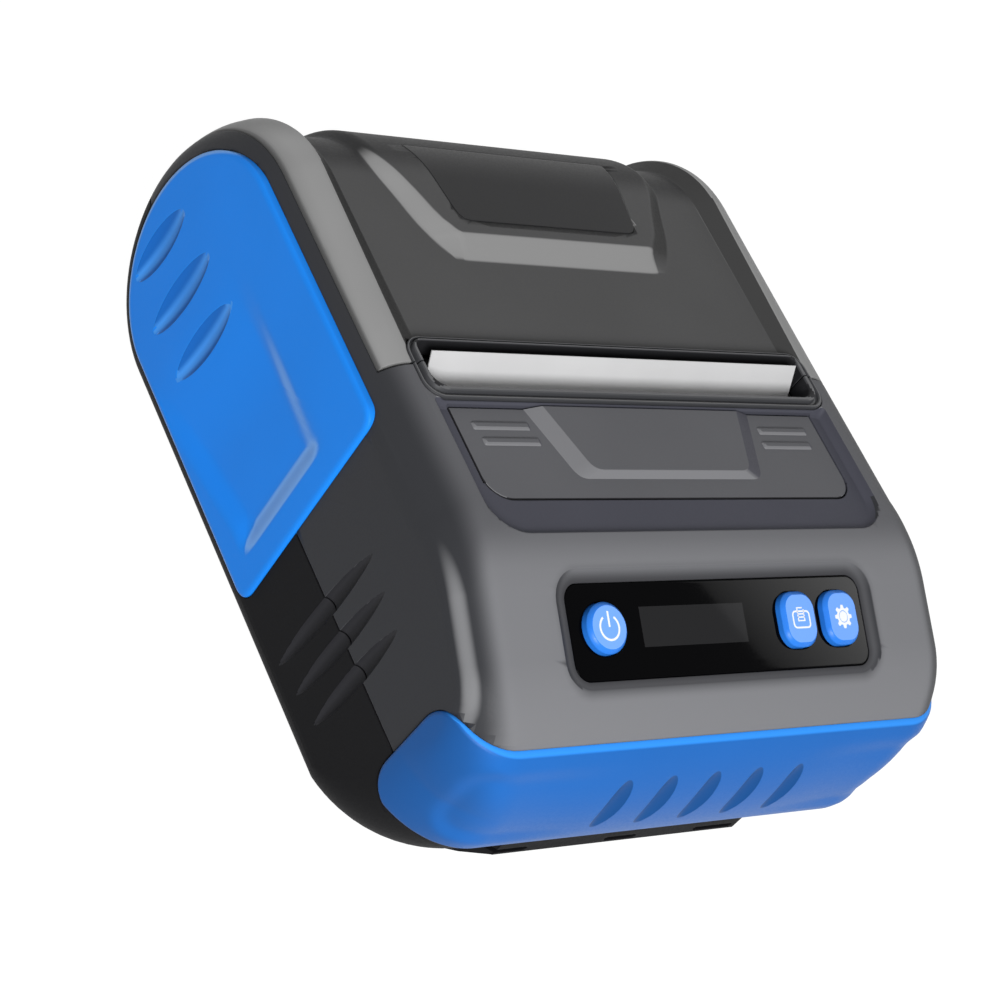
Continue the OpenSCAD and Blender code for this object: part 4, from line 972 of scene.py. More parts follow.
# shallow field of the bumper, deepest at both ends; s is the way along the front from the middle
def bumperDish(s, z):
    b = bumperShape
    gaps = [max(0.0, b["dishCorner"] - v) for v in (b["dishReach"] - s, b["dishHigh"] - z, z - b["dishLow"])]
    rim = b["dishCorner"] - math.hypot(*gaps)
    return b["dishDepth"] * smoothstep(0, b["dishWall"], rim) * smoothstep(*b["dishFade"], s)


# inset of the skin at a distance from the bumper's edge
def bumperSkin(d):
    b = bumperShape
    if d >= b["soft"]:
        return -b["proud"]
    return b["lip"] - (b["lip"] + b["proud"]) * math.sqrt(1 - (1 - d / b["soft"]) ** 2)


edgeSteps = [bumperShape["soft"] * (1 - math.cos(math.radians(15 * k))) for k in range(7)]


# the case's rounded corner at height z as a line of (x, y), from where it starts to y = end
def cornerLine(z, end, steps=72, sideSteps=4):
    c = caseShape
    flat = c["halfWidth"] - c["frontEdge"]
    xs = [flat + c["frontEdge"] * math.sin(math.radians(90 * k / steps)) for k in range(steps + 1)]
    path = [(x, frontAt(x, z, 0)) for x in xs]
    last, furthest = path[-1][1], bumperShape["end"]
    if furthest > last + 0.05:
        path += [(c["halfWidth"], last + (furthest - last) * i / sideSteps) for i in range(1, sideSteps + 1)]
    kept = [path[0]]
    for p, q in zip(path, path[1:]):
        if q[1] > end:
            share = (end - p[1]) / (q[1] - p[1])
            kept.append((p[0] + (q[0] - p[0]) * share, end))
            break
        kept.append(q)
    return kept


# outer part of a bumper row, cut by the end's rounded corners: x, y, normal, way from middle and to the end
def cornerRow(z, steps=30):
    b = bumperShape
    rim, end = min(z - b["low"], b["high"] - z), b["end"]
    if rim < b["corner"]:
        end -= b["corner"] - math.sqrt(max(0, b["corner"] ** 2 - (b["corner"] - rim) ** 2))
    line = cornerLine(z, end)
    flat = caseShape["halfWidth"] - caseShape["frontEdge"]
    lengths = [0.0]
    for p, q in zip(line, line[1:]):
        lengths.append(lengths[-1] + math.dist(p, q))
    total = lengths[-1]
    stops = [(total - b["soft"]) * i / steps for i in range(steps + 1)]
    stops += [total - d for d in reversed(edgeSteps[:-1])]
    made = []
    for s in stops:
        i = max(k for k in range(len(lengths) - 1) if lengths[k] <= s + 1e-9)
        share = (s - lengths[i]) / max(1e-9, lengths[i + 1] - lengths[i])
        p, q = Vector(line[i]), Vector(line[i + 1])
        before, after = Vector(line[max(0, i - 1)]), Vector(line[min(len(line) - 1, i + 2)])
        along = ((q - before).normalized()).lerp((after - p).normalized(), share).normalized()
        point = p.lerp(q, share)
        made.append((point.x, point.y, along.y, -along.x, flat + s, total - s))
    return made


# a whole row of the bumper at height z; without a depth it follows the outer skin
def bumperRow(z, depth=None, steps=16, farFromEnd=99.0, probe=0.5):
    b, flat = bumperShape, caseShape["halfWidth"] - caseShape["frontEdge"]
    front = frontAt(0, z, 0)
    steep = (front - frontAt(0, z, -probe)) / probe
    middle = [(flat * i / steps, front, 0.0, -1.0, flat * i / steps, farFromEnd) for i in range(steps)]
    line = []
    for x, y, nx, ny, s, rest in middle + cornerRow(z):
        inset = depth
        if depth is None:
            inset = max(bumperSkin(d) for d in (z - b["low"], b["high"] - z, rest)) + bumperDish(s, z)
        inset *= steep + (1 - steep) * nx * nx
        line.append((x - nx * inset, y - ny * inset, z))
    return [(-x, y, z) for x, y, z in reversed(line[1:])] + line


# front bumper: rows of one height each, wrapped round the nose from side to side
def frontBumper(steps=36):
    b, c = bumperShape, caseShape
    low, tall = b["low"], b["high"] - b["low"]
    heights = edgeSteps + [b["soft"] + (tall - 2 * b["soft"]) * i / steps for i in range(1, steps)]
    heights += [tall - d for d in reversed(edgeSteps)]
    buried = b["thick"] - b["proud"]
    bumper = sheetSolid([bumperRow(low + d) for d in heights], [bumperRow(low + d, buried) for d in heights])
    lift, skin = (low + b["high"]) / 2 + b["grooveLift"], c["halfLength"] + b["proud"]
    for i in range(-2, 3):
        cut(bumper, lensGroove((i * b["pitch"], -skin, lift), b["groove"], (0, -1, 0), b["grooveLean"]))

    def inGroove(at, out):
        away = abs(at.x - b["pitch"] * max(-2, min(2, round(at.x / b["pitch"]))))
        h = at.z - lift
        sag = (frontAt(0, at.z, -b["proud"]) if low < at.z < b["high"] else 0) + skin - b["grooveLean"][1] * h
        return int(abs(h) < b["groove"][0] / 2 and away < grooveHalf(h, b["groove"], sag) - 0.04)

    place(bumper, "front_bumper", ("blueBumper", "blueGrooveShade"), "case", pick=inGroove)


frontBumper()
print("bumper built")


# cover: one sheet whose columns follow the rails and the raised field
coverShape = {
    "recess": 1.0, "field": 0.55, "rampFrom": 23.5, "rampTo": 28.3, "floorEdge": 40.4, "railTop": 43.6,
    "crestWidth": 1.2, "stayHalf": 4.2, "stayReach": 9, "stayOver": 0.9, "knuckleHalf": 20.5, "backZ": 19.9,
    "skirtStep": 0.8, "skirtRows": 3, "skirtPull": (0.702, 0.82),
    # the raised field's half width at its foot and at its top, as (y, half width)
    "base": [(0, 23.4), (23.5, 23.4), (25.7, 25.2), (31.5, 28.0), (37.2, 29.7), (42.6, 31.7), (46.2, 32.4),
             (80, 32.4)],
    "top": [(0, 20.8), (28.3, 20.8), (30.5, 23.6), (36.1, 26.0), (40.7, 28.4), (46.2, 30.4), (80, 30.4)],
    "rows": (1.1, 1.6, 3, 6, 9, 12, 15, 18, 20.5, 22.0, 22.7, 23.1, 23.5, 23.9, 24.4, 25.2, 26.2, 27.2, 27.8,
             28.2, 28.6, 29.1, 29.8, 31, 33, 35, 37, 39),
    "edgeColumns": (45.2, 45.8, 46.4, 47.0, 47.6, 48.1, 48.45),
}


def fromTable(table, v):
    for (x0, y0), (x1, y1) in zip(table, table[1:]):
        if v <= x1:
            return y0 + (y1 - y0) * (v - x0) / (x1 - x0)
    return table[-1][1]


# mean over a short stretch, so that corners come out soft
def eased(value, at, width):
    return sum(value(at + width * (k / 4 - 1)) for k in range(9)) / 9


def railLift(y, nz):
    c = caseShape
    if y < backCentre[0] - 0.01:
        return c["railRise"] * max(0, (y - c["slotY"])) / (backCentre[0] - c["slotY"])
    if nz > 0:
        return c["railRise"] + c["railCrest"] * (1 - abs(2 * max(0, nz) - 1))
    return c["railRise"] * max(0, 1 + 2 * nz)


def coverRows():
    c = caseShape
    rows = [(y, c["height"], 0.0, 1.0) for y in coverShape["rows"]]
    rows += ovalArc(backCentre, c["backRadius"], c["height"] - c["backZ"], 90, 0, 36)
    end = math.degrees(math.asin((c["backZ"] - coverShape["backZ"]) / (c["backZ"] - c["footHeight"])))
    return rows + ovalArc(backCentre, c["backRadius"], c["backZ"] - c["footHeight"], 0, -end, 8)[1:]


# one row as (x, height over the case's surface): raised field, floor, rail and the rail's outer side
def coverProfile(y, ny, nz):
    c, s = caseShape, coverShape
    clamp = lambda v: min(1, max(0, v))
    ramp = eased(clamp, (y - s["rampFrom"]) / (s["rampTo"] - s["rampFrom"]), 0.04)
    floor, rail, side = -s["recess"], s["railTop"], c["coverHalf"]
    top = floor + (s["field"] + s["recess"]) * ramp
    wide, base = (eased(lambda v: fromTable(s[name], v), y, 1.6) for name in ("top", "base"))
    lift = railLift(y, nz)
    corners = [(0, top), (wide, top), (base, floor), (s["floorEdge"], floor)]
    line = softLine(corners + [(rail, lift - edgeDrop(rail, ny, nz))], (0.9, 0.7, 0.5))[:-1]
    line[1:1] = [(line[1][0] * k / 8, top) for k in range(1, 8)]
    crest = lambda x: lift * clamp((side + 0.2 - x) / (side + 0.2 - rail)) - edgeDrop(x, ny, nz)
    (x, h), over = line[-1], rail + s["crestWidth"]
    line += softLine([(x + 0.001, h), (rail, crest(rail)), (over, crest(over))], (0.7,), 6)[1:]
    line += [(x, crest(x)) for x in s["edgeColumns"]]
    line += [(side - 0.04, crest(side) - 0.05), (side, crest(side) - 0.18)]
    return [(-x, h) for x, h in reversed(line[1:])] + line


def coverSheet():
    c, s = caseShape, coverShape
    outer, inner = [], []
    for y, z, ny, nz in coverRows():
        profile = coverProfile(y, ny, nz)
        outer.append([(x, y + ny * h, z + nz * h) for x, h in profile])
        deep = [(x, edgeDrop(min(abs(x), c["coverHalf"]), ny, nz, c["wall"])) for x, _ in profile]
        inner.append([(x, y - ny * d, z - nz * d) for x, d in deep])
    # the lower back edge follows the sweep round the hinge
    flat, tall = c["backRadius"], c["backZ"] - c["footHeight"]
    back, fall = (s["skirtStep"] * share for share in s["skirtPull"])
    for k in range(1, s["skirtRows"] + 1):
        low = s["backZ"] - s["skirtStep"] * k
        angle = math.asin((c["backZ"] - low) / tall)
        y, ny, nz = backCentre[0] + flat * math.cos(angle), math.cos(angle) / flat, -math.sin(angle) / tall
        size = math.hypot(ny, nz)
        ny, nz = ny / size, nz / size
        deep = [(x, edgeDrop(x, ny, nz, c["wall"])) for x, _, _ in outer[-1]]
        inner.append([(x, y - ny * d, low - nz * d) for x, d in deep])
        outer.append([(x, y - back, z - fall) for x, y, z in outer[-1]])
    return sheetSolid(outer, inner)


windowShape = {"half": 22.2, "frontHalf": 19.4, "front": 31.0, "back": 48.6, "corner": 2.5, "gap": 0.12,
               "proud": 0.04, "cutterZ": (45, 62)}


def paneCutter(gap):
    w = windowShape
    wide, slim = w["half"] + gap, w["frontHalf"] + gap
    back, front = w["back"] + gap, w["front"] - gap
    corners = [(-slim - 1, back), (-wide, back), (-slim, front), (0, front)]
    line = softLine(corners, (0.4, w["corner"] + gap), 8)[1:-1]
    return prism(line + [(-x, y) for x, y in reversed(line)], "z", *w["cutterZ"])


# rails with their painted highlight, the walls beside them with their painted shade, and the plain rest
def coverTone(at, out):
    if out.z < -0.15 or (out.y < -0.4 and at.y > 20):
        return 0
    if abs(at.x) > coverShape["railTop"] - 0.25:
        return 1
    return 2 if abs(at.x) > coverShape["floorEdge"] - 0.05 else 0


def cover():
    c, s = caseShape, coverShape
    sheet = coverSheet()
    pane = meet(copyOf(sheet), paneCutter(0))
    pane.location.z = windowShape["proud"] * mm
    bpy.context.view_layer.update()
    place(pane, "cover_window", ("windowBlack",), "cover")
    cut(sheet, paneCutter(windowShape["gap"]))
    join(sheet, innerParts("cover"))
    (hingeY, hingeZ), knuckle = c["hinge"], c["knuckleRadius"]
    for x in (-c["stayX"], c["stayX"]):
        cut(sheet, boxSolid(x - s["stayHalf"], x + s["stayHalf"], hingeY - s["stayReach"], farY,
                            hingeZ - s["stayReach"], hingeZ + knuckle + s["stayOver"]))
    cut(sheet, tube(c["pinHole"], c["pinHalf"], c["hinge"], 32), tube(knuckle, s["knuckleHalf"], c["hinge"]),
        bezelCutter(bezelShape["coverFloor"]), slotCutter())
    place(sheet, "cover", ("coverGrey", "railHighlightGrey", "railWallShade"), "cover", 28, coverTone)


cover()
print("cover built")

# bezel: one rim swept round the slot's opening, as (way out, z), cut where the cover parts from the case
rimShape = {
    "upperBottom": 51.7, "lowerBottom": 50.7,
    "rearCorner": (1.4, 2.0), "frontCorner": (3.0, 0.4),  # radius inside, and what it gains to the outside
    "profile": [(0.0, 54.85), (0.12, 55.1), (0.35, 55.2), (0.65, 55.2), (0.85, 55.1), (0.98, 54.8),
                (1.1, 54.35), (1.3, 54.3), (1.44, 54.45), (1.55, 54.75), (1.7, 54.9), (1.9, 54.9),
                (2.04, 54.8), (2.1, 54.6)],
}


def rimSolid(bottom):
    r, width, rings = rimShape, bezelShape["rim"], []
    for d, z in [(0.0, bottom), *r["profile"], (width, bottom)]:
        share = d / width
        rear, fore = (radius + growth * share for radius, growth in (r["rearCorner"], r["frontCorner"]))
        rings.append(bezelRing(d, d, share * bezelShape["rearRim"], (rear, rear, fore, fore), z, 10))
    return loft(rings, closed=True)


def bezels():
    b, slotY = bezelShape, caseShape["slotY"]
    inSlot = lambda at, out: int(abs(at.x) < b["half"] + 0.05 and b["front"] - 0.05 < at.y < b["back"] + 0.05)
    behind = boxSolid(-farX, farX, slotY, 20, 45, farZ)
    before = boxSolid(-farX, farX, -20, slotY - caseShape["seam"], 45, farZ)
    rear = meet(rimSolid(rimShape["upperBottom"]), behind)
    front = meet(rimSolid(rimShape["lowerBottom"]), before)
    place(rear, "slot_bezel_upper", ("bezelGrey", "slotShade"), "cover", pick=inSlot)
    place(front, "slot_bezel_lower", ("bezelGrey", "slotShade"), "case", pick=inSlot)


bezels()
print("bezel built")

# release panel: flat plate, raised trapezoid given by its half widths behind and in front, four grip ribs
panelShape = {
    "edge": 0.12, "raise": 1.0, "baseHalf": (24.6, 20.0), "baseFront": -19.95, "topHalf": (21.4, 17.2),
    "topFront": -18.95, "fieldCorner": 2.0, "corner": 4.2, "rearCorner": 0.3, "sunk": 0.3,
    "ribs": ((30.9, -9.95), (30.2, -12.95)), "ribWidth": 11.4, "ribLength": 1.5, "ribHeight": 0.35,
}


# trapezoid with two rounded front corners, counted alike for every size
def trapezoid(halves, front, back, radius, z):
    rear, fore = halves
    line = softLine([(-rear, back), (-fore, front), (0, front)], (radius,), 6)[:-1]
    return onAxis(line + [(-x, y) for x, y in reversed(line)], "z", z)


def releasePanel():
    t, p = trayShape, panelShape
    top, edge, crown = t["floor"], p["edge"], t["floor"] + p["raise"]
    half, radii = t["panelHalf"], (p["rearCorner"], p["rearCorner"], p["corner"], p["corner"])
    layers = ((top - t["panelThick"], 0.1), (top - edge, 0.0), (top - edge * 0.3, edge * 0.25), (top, edge))
    rings = []
    for z, inset in layers:
        sides = (-half + inset, half - inset, t["panelFront"] + inset, t["panelBack"] - inset)
        rings.append(onAxis(roundRect(*sides, radii, 10), "z", z))
    plate = loft(rings)
    back, radius = t["panelBack"] - 0.05, p["fieldCorner"]
    raised = [trapezoid(p["baseHalf"], p["baseFront"], back, radius, z) for z in (top - p["sunk"], top)]
    for grow, behind, trim, z in ((edge, 0.02, 0.0, crown - 0.06), (-edge, 0.06, 0.1, crown)):
        halves, front = [v + grow for v in p["topHalf"]], p["topFront"] - grow / 2
        raised.append(trapezoid(halves, front, back - behind, radius - trim, z))
    join(plate, loft(raised))
    # the ribs' layers as (height, inset)
    ribLayers = ((-p["sunk"], 0.0), (0.02, 0.0), (p["ribHeight"] * 0.7, 0.14), (p["ribHeight"], 0.42))
    for side in (-1, 1):
        for x, y in p["ribs"]:
            rings = []
            for height, inset in ribLayers:
                half, long = p["ribWidth"] / 2 - inset, p["ribLength"] / 2 - inset
                ring = roundRect(side * x - half, side * x + half, y - long, y + long, 0.3, 4)
                rings.append(onAxis(ring, "z", top + height))
            join(plate, loft(rings))
    # the panel's sides take the painted slot shade
    place(plate, "release_panel", ("panelGrey", "slotShade"), "release_panel", angle=11,
          pick=lambda at, out: int(at.z < top + 0.001 and abs(out.z) < 0.95))


releasePanel()
print("release panel built")

# display glass with its button openings, as (middle, width, length, corner)
powerX, powerY, powerRadius = lensShape["power"]
powerKey = ((powerX, powerY), 2 * powerRadius, 2 * powerRadius, powerRadius - 0.01)
keySize = [lensShape[label] for label in ("keyWidth", "keyLength", "keyCorner")]
feedKey, settingsKey = (((x, lensShape["keyUp"]), *keySize) for x in lensShape["keys"])


def displayLens():
    l, holeGap = lensShape, 0.2
    face, under = -l["drop"], -l["drop"] - l["thick"]
    glass = slopePad(l["width"], l["length"], l["corner"],
                     ((under, -0.05), (face - 0.22, 0.0), (face - 0.07, -0.06), (face, -0.22)), steps=10)
    for (centre, width, length, corner), steps in ((powerKey, 20), (feedKey, 10), (settingsKey, 10)):
        cut(glass, slopePad(width, length, corner, ((-6, holeGap), (2, holeGap)), centre, steps))
    place(glass, "display_lens", ("lensBlack",), "case")


displayLens()

# buttons: flange, stem, chamfered crown, paler face and a printed symbol
# crown: (height, growth)
faceLevel = -lensShape["drop"] + lensShape["keyHeight"]
buttonShape = {"ink": 0.03, "flange": 0.9, "flangeGrow": 0.35, "foot": -4.8, "stem": 3.2,
               "crown": ((-0.72, 0.0), (-0.62, -0.04), (-0.12, -0.5), (-0.02, -0.66), (0, -0.74))}
ink = buttonShape["ink"]


# flat printed strip between two lines of points
def printed(first, second, closed=True):
    verts = []
    for level in (faceLevel + ink, faceLevel - ink):
        verts += onSlope(first, level) + onSlope(second, level)
    n = len(first)
    faces = []
    for i in range(n if closed else n - 1):
        j = (i + 1) % n
        faces += [(i, j, n + j, n + i), (3 * n + i, 3 * n + j, 2 * n + j, 2 * n + i),
                  (i, 2 * n + i, 2 * n + j, j), (n + j, 3 * n + j, 3 * n + i, n + i)]
    if not closed:
        faces += [(0, n, 3 * n, 2 * n), (n - 1, 3 * n - 1, 4 * n - 1, 2 * n - 1)]
    return meshObject(verts, faces)


def arcStrip(centre, inner, outer, start, end, steps, closed=False):
    angles = [math.radians(start + (end - start) * i / steps) for i in range(steps + (0 if closed else 1))]
    ring = lambda r: [(centre[0] + r * math.cos(a), centre[1] + r * math.sin(a)) for a in angles]
    return printed(ring(inner), ring(outer), closed)


def bar(x, y, x0, x1, y0, y1):
    return printed([(x + x0, y + y0), (x + x1, y + y0)], [(x + x0, y + y1), (x + x1, y + y1)], False)


def powerPrint(x, y):
    return [arcStrip((x, y - 0.05), 1.72, 2.05, 125, 415, 48), bar(x, y, -0.17, 0.17, 0.05, 2.45)]


# a page with lines on it in front of a rounded frame
def feedPrint(x, y):
    frameIn = roundRect(x - 1.72, x + 1.72, y - 1.32, y + 1.02, 0.5, 6)
    frameOut = roundRect(x - 2.0, x + 2.0, y - 1.6, y + 1.3, 0.75, 6)
    page = ((-0.82, 0.82, -0.45, -0.25), (-0.82, 0.82, 0.1, 0.32), (-0.82, 0.82, 0.62, 0.84),
            (-0.82, 0.45, 1.62, 1.82), (-0.82, -0.6, -0.25, 1.62), (0.6, 0.82, -0.25, 1.45))
    return [printed(frameIn, frameOut)] + [bar(x, y, *sides) for sides in page]


# a toothed wheel with a dot in its hole
def settingsPrint(x, y, teeth=8, steps=96, body=1.42, tooth=0.5, hole=1.0, dot=0.88):
    outline = []
    for i in range(steps):
        angle = 2 * math.pi * i / steps
        reach = body + tooth * smoothstep(-0.25, 0.25, math.cos(teeth * angle))
        outline.append((x + reach * math.cos(angle), y + reach * math.sin(angle)))
    return [printed(circle((x, y), hole, steps), outline), arcStrip((x, y), 0.02, dot, 0, 360, 40, True)]


def button(name, shape, symbol):
    (centre, width, length, corner), b = shape, buttonShape
    flange, grow, stem = -lensShape["drop"] - lensShape["thick"] - 0.05, b["flangeGrow"], b["stem"]
    layers = [(flange - b["flange"], grow), (flange, grow), (flange, 0.0)]
    layers += [(faceLevel + z, growth) for z, growth in b["crown"]]
    crown = slopePad(width, length, corner, layers, centre, 12)
    join(crown, slopePad(stem, stem, stem / 2 - 0.01, ((b["foot"], 0), (flange - 0.5, 0)), centre))
    shade(crown, 28)
    gather(crown, *symbol(*centre))
    out, start = Vector((0, -math.sin(tilt), math.cos(tilt))), Vector((0, *lensCentre))

    def tone(at, normal):
        lift = (at - start).dot(out)
        if lift > faceLevel + ink * 0.5 or (lift > faceLevel - ink * 2 and abs(normal.dot(out)) < 0.5):
            return 2
        return 1 if lift > faceLevel - ink * 0.5 else 0

    place(crown, name, ("blueKey", "keyFace", "iconWhite"), name, angle=28, pick=tone)


button("power_button", powerKey, powerPrint)
button("feed_button", feedKey, feedPrint)
button("settings_button", settingsKey, settingsPrint)
print("display and buttons built")

# label stock: strip from the roll round the platen and out of the slot, and the wound roll
labelShape = {
    "half": 40.0, "thick": 0.2, "roll": (36.0, 28.0), "rollRadius": 17.5, "core": 6.35, "coreWall": 1.5,
    "platen": (3.6, 46.2), "stripRadius": 5.05, "exitRadius": 6.0, "exitRise": 1.8, "lean": 32.6, "free": 5.5,
    "waves": ((0.05, 0.9), (0.03, 2.3)),  # unevenness of the wound roll, as (height, radians per mm)
}


def polar(centre, radius, degrees):
    turn = math.radians(degrees)
    return centre[0] + radius * math.cos(turn), centre[1] + radius * math.sin(turn)


# the strip seen from the side, as y and z: off the roll, round the platen, out through the slot
def stripPath():
    s = labelShape
    (rollY, rollZ), (platenY, platenZ) = s["roll"], s["platen"]
    around, near = s["rollRadius"] + 0.5, s["stripRadius"]
    towards = math.degrees(math.atan2(rollZ - platenZ, rollY - platenY))
    wrap = math.degrees(math.acos((near + around) / math.hypot(platenY - rollY, platenZ - rollZ)))
    leave, touch = polar(s["roll"], around, towards + 180 - wrap), polar(s["platen"], near, towards - wrap)
    path = [tuple(a + (b - a) * i / 12 for a, b in zip(leave, touch)) for i in range(12)]
    path += [polar(s["platen"], near, towards - wrap - (180 + towards - wrap) * i / 32) for i in range(33)]
    centre = (platenY - near + s["exitRadius"], platenZ + s["exitRise"])
    path += [polar(centre, s["exitRadius"], 180 - s["lean"] * i / 12) for i in range(13)]
    lean, (y, z) = math.radians(s["lean"]), path[-1]
    across, up = s["free"] * math.sin(lean), s["free"] * math.cos(lean)
    return path + [(y + across * i / 8, z + up * i / 8) for i in range(1, 9)]


def labelStrip(columns=24, edge=0.1):
    half, path, depth = labelShape["half"], stripPath(), labelShape["thick"] / 2
    inside = [-half + 2 * half * i / columns for i in range(1, columns)]
    across = [-half, -half + edge, *inside, half - edge, half]
    rings = []
    for i, (y, z) in enumerate(path):
        (y0, z0), (y1, z1) = path[max(0, i - 1)], path[min(len(path) - 1, i + 1)]
        size = math.hypot(y1 - y0, z1 - z0)
        dy, dz = -(z1 - z0) / size * depth, (y1 - y0) / size * depth
        rings.append([(x, y + dy, z + dz) for x in across] + [(x, y - dy, z - dz) for x in reversed(across)])
    strip = place(loft(rings), "label_strip", ("paper",), "case", angle=40)
    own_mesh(strip)


def labelRoll():
    s = labelShape
    half, radius = s["half"], s["rollRadius"]
    wave = lambda x: sum(height * math.sin(x * turn) for height, turn in s["waves"])
    bore, worn = s["core"] + s["coreWall"] + 0.02, radius - 0.08
    ends = ((half, bore), (half - 0.02, 12.5), (half, radius - 0.25), (half - 0.15, worn))
    rows = [(-x, r) for x, r in ends] + [(-half + 1 + 3 * i, worn + wave(i)) for i in range(27)]
    rows += reversed(ends)
    roll = loft([onAxis(circle(s["roll"], r, 96), "x", x) for x, r in rows], closed=True)
    place(roll, "label_roll", ("rollPaper",), "label_roll", angle=35)


labelStrip()
labelRoll()
print("label stock built")

# battery pack: the solid with finger slots in its front edge, as (x, width), and its front corners cut off
batteryShape = {"slots": ((-24.5, 9.0), (0.0, 7.0), (21.0, 9.0)), "slotHeight": 1.0, "slotZ": 8.6,
                "slotReach": 3.0, "cornerFrom": 26.5, "cornerTo": 33.6, "cornerDepth": 5.2}


def batteryPack():
    b = batteryShape
    block = weld(copyOf(nodes["battery_pack"]), solidReach)
    front = min(v.co.y for v in block.data.vertices) / mm
    low, high = b["slotZ"] - b["slotHeight"] / 2, b["slotZ"] + b["slotHeight"] / 2
    for x, width in b["slots"]:
        ring = roundRect(x - width / 2, x + width / 2, low, high, 0.6, 6)
        cut(block, loft([[(px, y, pz) for px, pz in ring] for y in (front - 6, front + b["slotReach"])]))
    inner, outer, back = b["cornerFrom"], b["cornerTo"], front + b["cornerDepth"]
    corner = ((inner, front - 2), (inner, front + 0.2), (outer, back), (36, back), (36, front - 2))
    for side in (-1, 1):
        cut(block, prism([(side * x, y) for x, y in corner], "z", -2, 14))
    place(block, "battery_pack", ("batteryBlack",), "battery_pack", angle=20)


batteryPack()
print("battery built")

# the pieces that keep their own solid's shape
slotLooks = {"case_grey": "caseGrey", "case_black": "caseBlack", "cover_grey": "coverGrey",
             "screen": "screenDark", "board_green": "boardGreen", "tub_black": "tubBlack",
             "gear_white": "gearWhite", "card": "coreCard", "roller": "rollerBlack", "rubber": "rubberBlack"}
for row in frame["record"]["subparts"]:
    kept, slot = nodes[row["node"]], row["material_slot"]
    if not kept.hide_render:
        kept.data.materials.clear()
        kept.data.materials.append(looks[slotLooks.get(slot, slot)])
print("finishes given to the kept pieces")

# camera, floor and light; places in metres, but cardCorners in mm on the slope, where the glass shows them
studio = {"lens": 97.2, "eye": (-0.2982, -0.2047, 0.2968),
          "turn": ((0.75925288, 0.00313342, -0.65078818), (-0.39125889, 0.80128651, -0.45261065),
                   (0.52004957, 0.5982726, 0.60960507)),
          "keyAt": (-0.36, -0.58, 0.43), "keyTo": (0, 0, 0.03), "keySize": 0.30, "keyPower": 6.3,
          "skyLevel": 0.36, "floorReach": 4, "floorTone": 0.42, "floorSeen": 0.95, "floorGlow": 1.1,
          "floorGlowShare": 0.88,
          "cardCorners": ((8.0, -6.5), (40.0, -14.0), (44.0, 14.0), (-9.7, 14.0)),
          "cardAway": 0.6, "cardFade": 0.07, "cardGlow": (4.0, 30.0)}


def camera():
    data = bpy.data.cameras.new("camera")
    data.lens, data.sensor_width, data.clip_start = studio["lens"], 36.0, 0.01
    made = bpy.data.objects.new("camera", data)
    scene.collection.objects.link(made)
    made.matrix_world = Matrix.Translation(studio["eye"]) @ Matrix(studio["turn"]).to_4x4()
    scene.camera = made


# 1 for what the camera sees, straight, mirrored or through glass
def seenBy(tree, path):
    mirrored = calc(tree, "MAXIMUM", path["Is Glossy Ray"], path["Is Transmission Ray"])
    return calc(tree, "MAXIMUM", path["Is Camera Ray"], mirrored)


def stagePiece(name, corners, material, matrix=Matrix()):
    mesh = bpy.data.meshes.new(name)
    mesh.from_pydata(corners, [], [(0, 1, 2, 3)])
    mesh.materials.append(material)
    made = bpy.data.objects.new(name, mesh)
    scene.collection.objects.link(made)
    made.matrix_world = matrix


def floor():
    material = bpy.data.materials.new("paleFloor")
    material.use_nodes = True
    tree = material.node_tree
    path = addNode(tree, "LightPath").outputs
    colour = mixColour(tree, path["Is Camera Ray"], [studio["floorTone"]] * 3, [studio["floorSeen"]] * 3)
    dull = {"Base Color": colour, "Roughness": 0.8, "Specular IOR Level": 0.0}
    shader = feed(tree, tree.nodes["Principled BSDF"], dull)
    glow = addNode(tree, "Emission", {"Color": (1, 1, 1, 1), "Strength": studio["floorGlow"]})
    share = calc(tree, "MULTIPLY", seenBy(tree, path), studio["floorGlowShare"])
    mix = addNode(tree, "MixShader", {0: share, 1: shader.outputs[0], 2: glow.outputs[0]})
    feed(tree, tree.nodes["Material Output"], {"Surface": mix.outputs[0]})
    far = studio["floorReach"]
    stagePiece("floor", [(-far, -far, 0), (far, -far, 0), (far, far, 0), (-far, far, 0)], material)


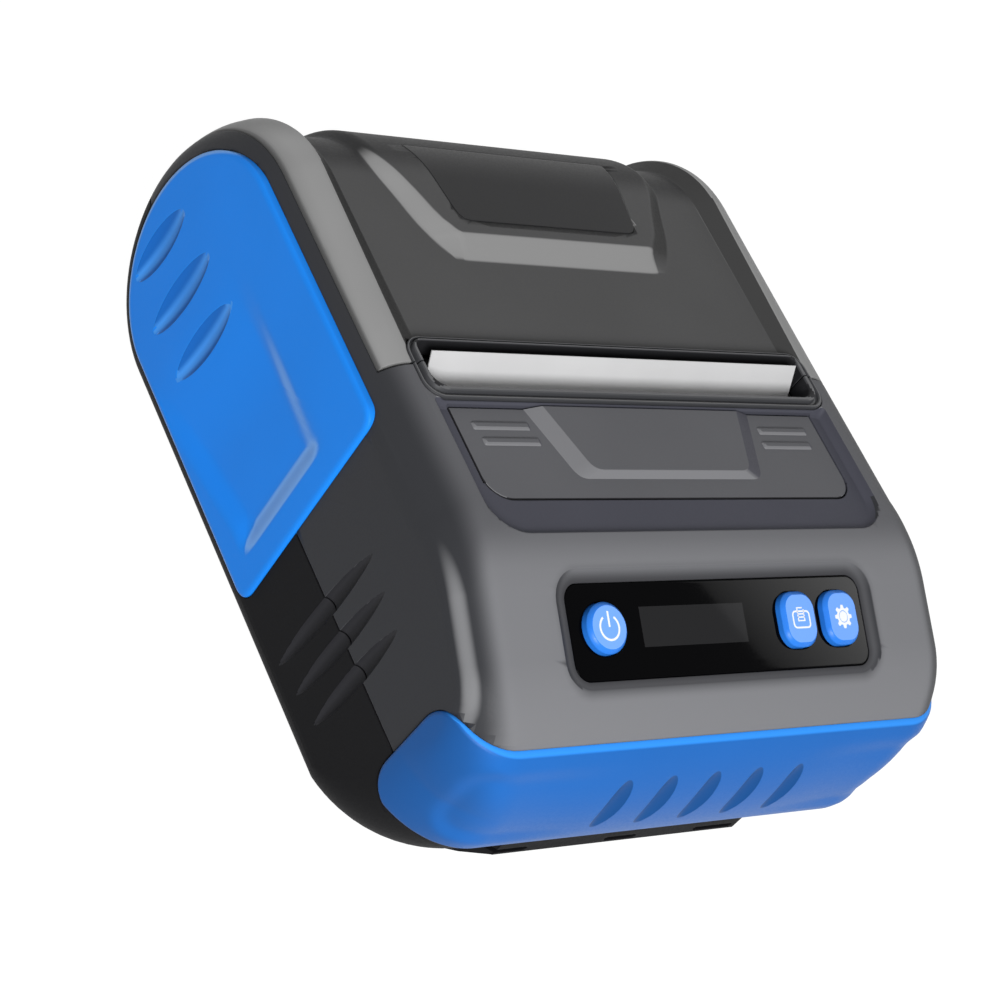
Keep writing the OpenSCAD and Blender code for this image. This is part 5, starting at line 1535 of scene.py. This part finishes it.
def world():
    made = bpy.data.worlds.new("studio")
    scene.world = made
    made.use_nodes = True
    tree = made.node_tree
    light = feed(tree, tree.nodes["Background"], {"Color": (*[studio["skyLevel"]] * 3, 1), "Strength": 1.0})
    plain = addNode(tree, "Background", {"Color": (1, 1, 1, 1)})
    seen = seenBy(tree, addNode(tree, "LightPath").outputs)
    mix = addNode(tree, "MixShader", {0: seen, 1: light.outputs[0], 2: plain.outputs[0]})
    feed(tree, tree.nodes["World Output"], {"Surface": mix.outputs[0]})


def keyLamp():
    data = bpy.data.lights.new("key", "AREA")
    data.shape, data.energy = "RECTANGLE", studio["keyPower"]
    data.size = data.size_y = studio["keySize"]
    made = bpy.data.objects.new("key", data)
    scene.collection.objects.link(made)
    made.location = studio["keyAt"]
    way = Vector(studio["keyTo"]) - Vector(studio["keyAt"])
    made.rotation_euler = way.to_track_quat("-Z", "Y").to_euler()


# soft card off to the side, mirrored by the upper right part of the glass
def mirrorCard():
    eye, out = scene.camera.matrix_world.translation, Vector((0, -math.sin(tilt), math.cos(tilt)))
    corners = []
    for spot in studio["cardCorners"]:
        point = Vector(onSlope([spot], -lensShape["drop"])[0]) * mm
        ray = (point - eye).normalized()
        corners.append(point + (ray - 2 * ray.dot(out) * out) * studio["cardAway"])
    start, along = corners[0], (corners[2] - corners[0]).normalized()
    flat = along.cross(corners[3] - corners[0]).normalized()
    turn = Matrix((along, flat.cross(along), flat)).transposed()
    material = bpy.data.materials.new("softCard")
    material.use_nodes = True
    tree = material.node_tree
    tree.nodes.clear()
    low, high = studio["cardGlow"]
    fade = {"Value": splitOf(tree)[0], "From Max": studio["cardFade"], "To Min": low, "To Max": high}
    level, path = addNode(tree, "MapRange", fade).outputs[0], addNode(tree, "LightPath").outputs
    glow = addNode(tree, "Emission", {"Strength": calc(tree, "MULTIPLY", level, path["Is Glossy Ray"])})
    addNode(tree, "OutputMaterial", {"Surface": glow.outputs[0]})
    stagePiece("mirror card", [turn.transposed() @ (p - start) for p in corners], material,
               Matrix.Translation(start) @ turn.to_4x4())


camera()
floor()
world()
keyLamp()
mirrorCard()
scene.view_settings.view_transform = "Standard"
